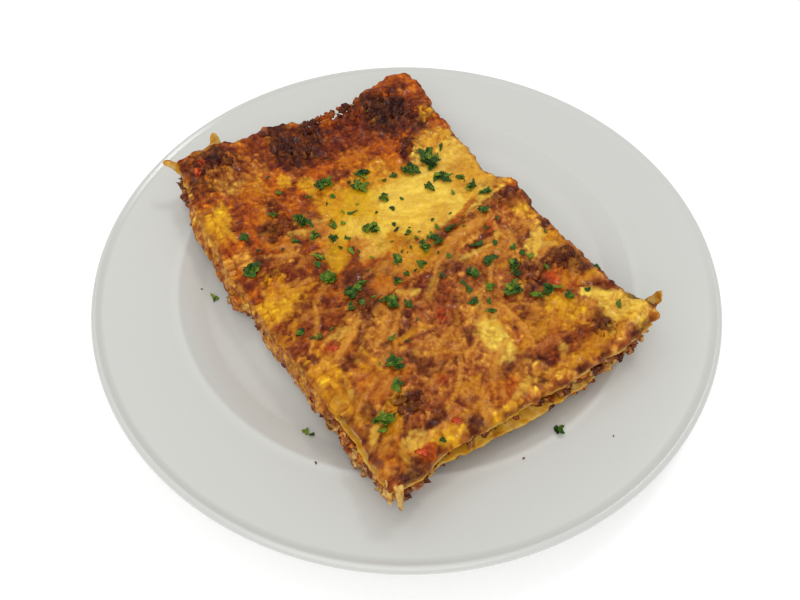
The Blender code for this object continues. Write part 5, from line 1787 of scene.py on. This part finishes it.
@dataclass(frozen=True)
class Studio:
    """The pale floor, the even light all round and the camera of the photo."""

    floor_size: float = 6.0
    floor_tone: float = 0.93
    floor_glow: float = 0.16
    sky: float = 0.50
    eye: tuple[float, float, float] = (-0.0027, -0.1734, 0.2269)
    dip: float = 54.85
    lens: float = 27.0
    sensor: float = 36.0

    def make(self) -> None:
        """Makes the floor, the lights, the sky and the camera."""
        scene = bpy.context.scene
        self.make_floor()
        for lamp in LAMPS:
            lamp.hang()
        world = bpy.data.worlds.new("studio")
        world.use_nodes = True
        feed(world.node_tree, world.node_tree.nodes["Background"],
             {"Color": (1.0, 1.0, 1.0, 1.0), "Strength": self.sky})
        scene.world = world
        view = bpy.data.cameras.new("camera")
        view.sensor_width = self.sensor
        view.lens = self.lens
        camera = bpy.data.objects.new("camera", view)
        camera.location = self.eye
        camera.rotation_euler = (math.radians(90.0 - self.dip), 0.0, 0.0)
        scene.collection.objects.link(camera)
        scene.camera = camera
        scene.view_settings.view_transform = "Standard"

    def make_floor(self) -> None:
        """Lays the floor, which glows a little so that it stays as pale as in the photo."""
        bpy.ops.mesh.primitive_plane_add(size=self.floor_size)
        floor = bpy.context.object
        floor.name = "floor"
        pale = new_material("pale_floor")
        feed(pale.node_tree, pale.node_tree.nodes["Principled BSDF"], {
            "Base Color": (self.floor_tone, self.floor_tone, self.floor_tone, 1.0), "Roughness": 0.9,
            "Emission Color": (1.0, 1.0, 1.0, 1.0), "Emission Strength": self.floor_glow})
        floor.data.materials.append(pale)


def main() -> None:
    """Builds the plate, the layers from the plate up, the crust and the toppings."""
    logging.basicConfig(level=logging.INFO, format="%(name)s: %(message)s")
    Studio().make()
    grain = grain_group()
    form, grid = SliceForm(), SlabGrid()
    soft = {"grain_size": 500.0, "cells": 0.2, "contrast": 1.2, "bump_depth": 0.0003, "dry": 0.5, "wet": 0.3}
    pasta = FoodFinish("cooked_pasta", bump=0.30, soft=0.1, **soft).make(grain)
    mince = FoodFinish("mince_sauce", grain_size=900.0, contrast=1.8, bump=0.7, dry=0.55,
                       wet=0.28).make(grain)
    cream = FoodFinish("set_cream", bump=0.4, soft=0.1, **soft).make(grain)
    baked = FoodFinish("baked_cheese", grain_size=750.0, cells=0.25, contrast=0.7, bump=0.28,
                       dry=0.55).make(grain)
    green = FoodFinish("parsley_green", grain_size=1500.0, cells=0.3, contrast=1.2, bump_depth=0.0003,
                       wet=0.4, gloss=0.3).make(grain)
    pepper = FoodFinish("red_pepper", grain_size=700.0, cells=0.2, contrast=1.0, bump=0.3, bump_depth=0.0002,
                        dry=0.4, wet=0.2).make(grain)

    Plate().build(Porcelain().make())

    sheet = 0.0018
    # Node, thickness, trim, height and size of the sway, side, slump and bulges, from the plate up
    plan = (
        ("pasta_sheet_1", sheet, 0.0035, 0.0016, 0.018, Side.PASTA, 0.8, (
            Bulge(FRONT, 0.006, 0.038, 0.0030),)),
        ("ragu_1", 0.0039, 0.0020, 0.0022, 0.012, Side.MINCE, 1.0, (
            Bulge(LEFT, 0.022, 0.006, 0.0020), Bulge(FRONT, 0.004, 0.038, 0.0020),
            Bulge(FRONT, -0.061, 0.010, -0.0015))),
        ("pasta_sheet_2", sheet, 0.0002, 0.0014, 0.020, Side.PASTA, 0.8, (
            Bulge(FRONT, 0.006, 0.036, 0.0034), Bulge(FRONT, 0.060, 0.012, -0.0015),
            Bulge(FRONT, -0.061, 0.010, -0.0015))),
        ("ragu_2", 0.0033, 0.0010, 0.0022, 0.012, Side.MINCE, 0.7, (
            Bulge(FRONT, -0.018, 0.028, -0.0035), Bulge(LEFT, 0.018, 0.008, 0.0015))),
        ("pasta_sheet_3", sheet, 0.0004, 0.0014, 0.022, Side.PASTA, 0.45, ()),
        ("bechamel", 0.0015, 0.0008, 0.0014, 0.016, Side.CREAM, 0.25, ()),
    )
    looks = {Side.PASTA: (pasta, "pasta"), Side.MINCE: (mince, "ragu"), Side.CREAM: (cream, "bechamel")}
    low, layers = 0.0, []
    for number, (node, thickness, trim, height, size, side, slump, bulges) in enumerate(plan, 1):
        finish, slot = looks[side]
        layer = Layer(node, low, thickness, trim, height, size, number, side, slump, bulges)
        tips = []
        if node == "pasta_sheet_3":
            shapes = zip(TIPS, (6.0, 7.0, 5.5), (0.40, 0.65, 0.30))
            tips = [Ribbon(stations, width, 1.1, narrowing, 7 + k).build(form)
                    for k, (stations, width, narrowing) in enumerate(shapes)]
        layer.build(form, grid, finish, slot, tips)
        layers.append(layer)
        low += thickness + form.gap
    crust = Crust(form, grid, low)
    crust.build(baked)
    scatter = Scatter(form, HeightChart(crust), np.random.default_rng(5))
    scatter.mince(baked)
    scatter.side_crumbs([layer for layer in layers if layer.side is Side.MINCE], grid, mince)
    scatter.peppers(pepper)
    HangingCoat(form, crust).build(baked)
    threads = [Ribbon(stations, 1.9, 1.2, 0.15, 20 + k) for k, stations in enumerate(DRIPS)]
    parts = [thread.build(form) for thread in threads]
    tints = [thread.tint(part[0], thread.seed) for thread, part in zip(threads, parts)]
    settle(Scatter.join("cheese_threads", parts, tints, 0.8, baked), "cheese_crust")
    scatter.parsley(green)
    scatter.on_plate(green, mince)


if __name__ == "__main__":
    main()
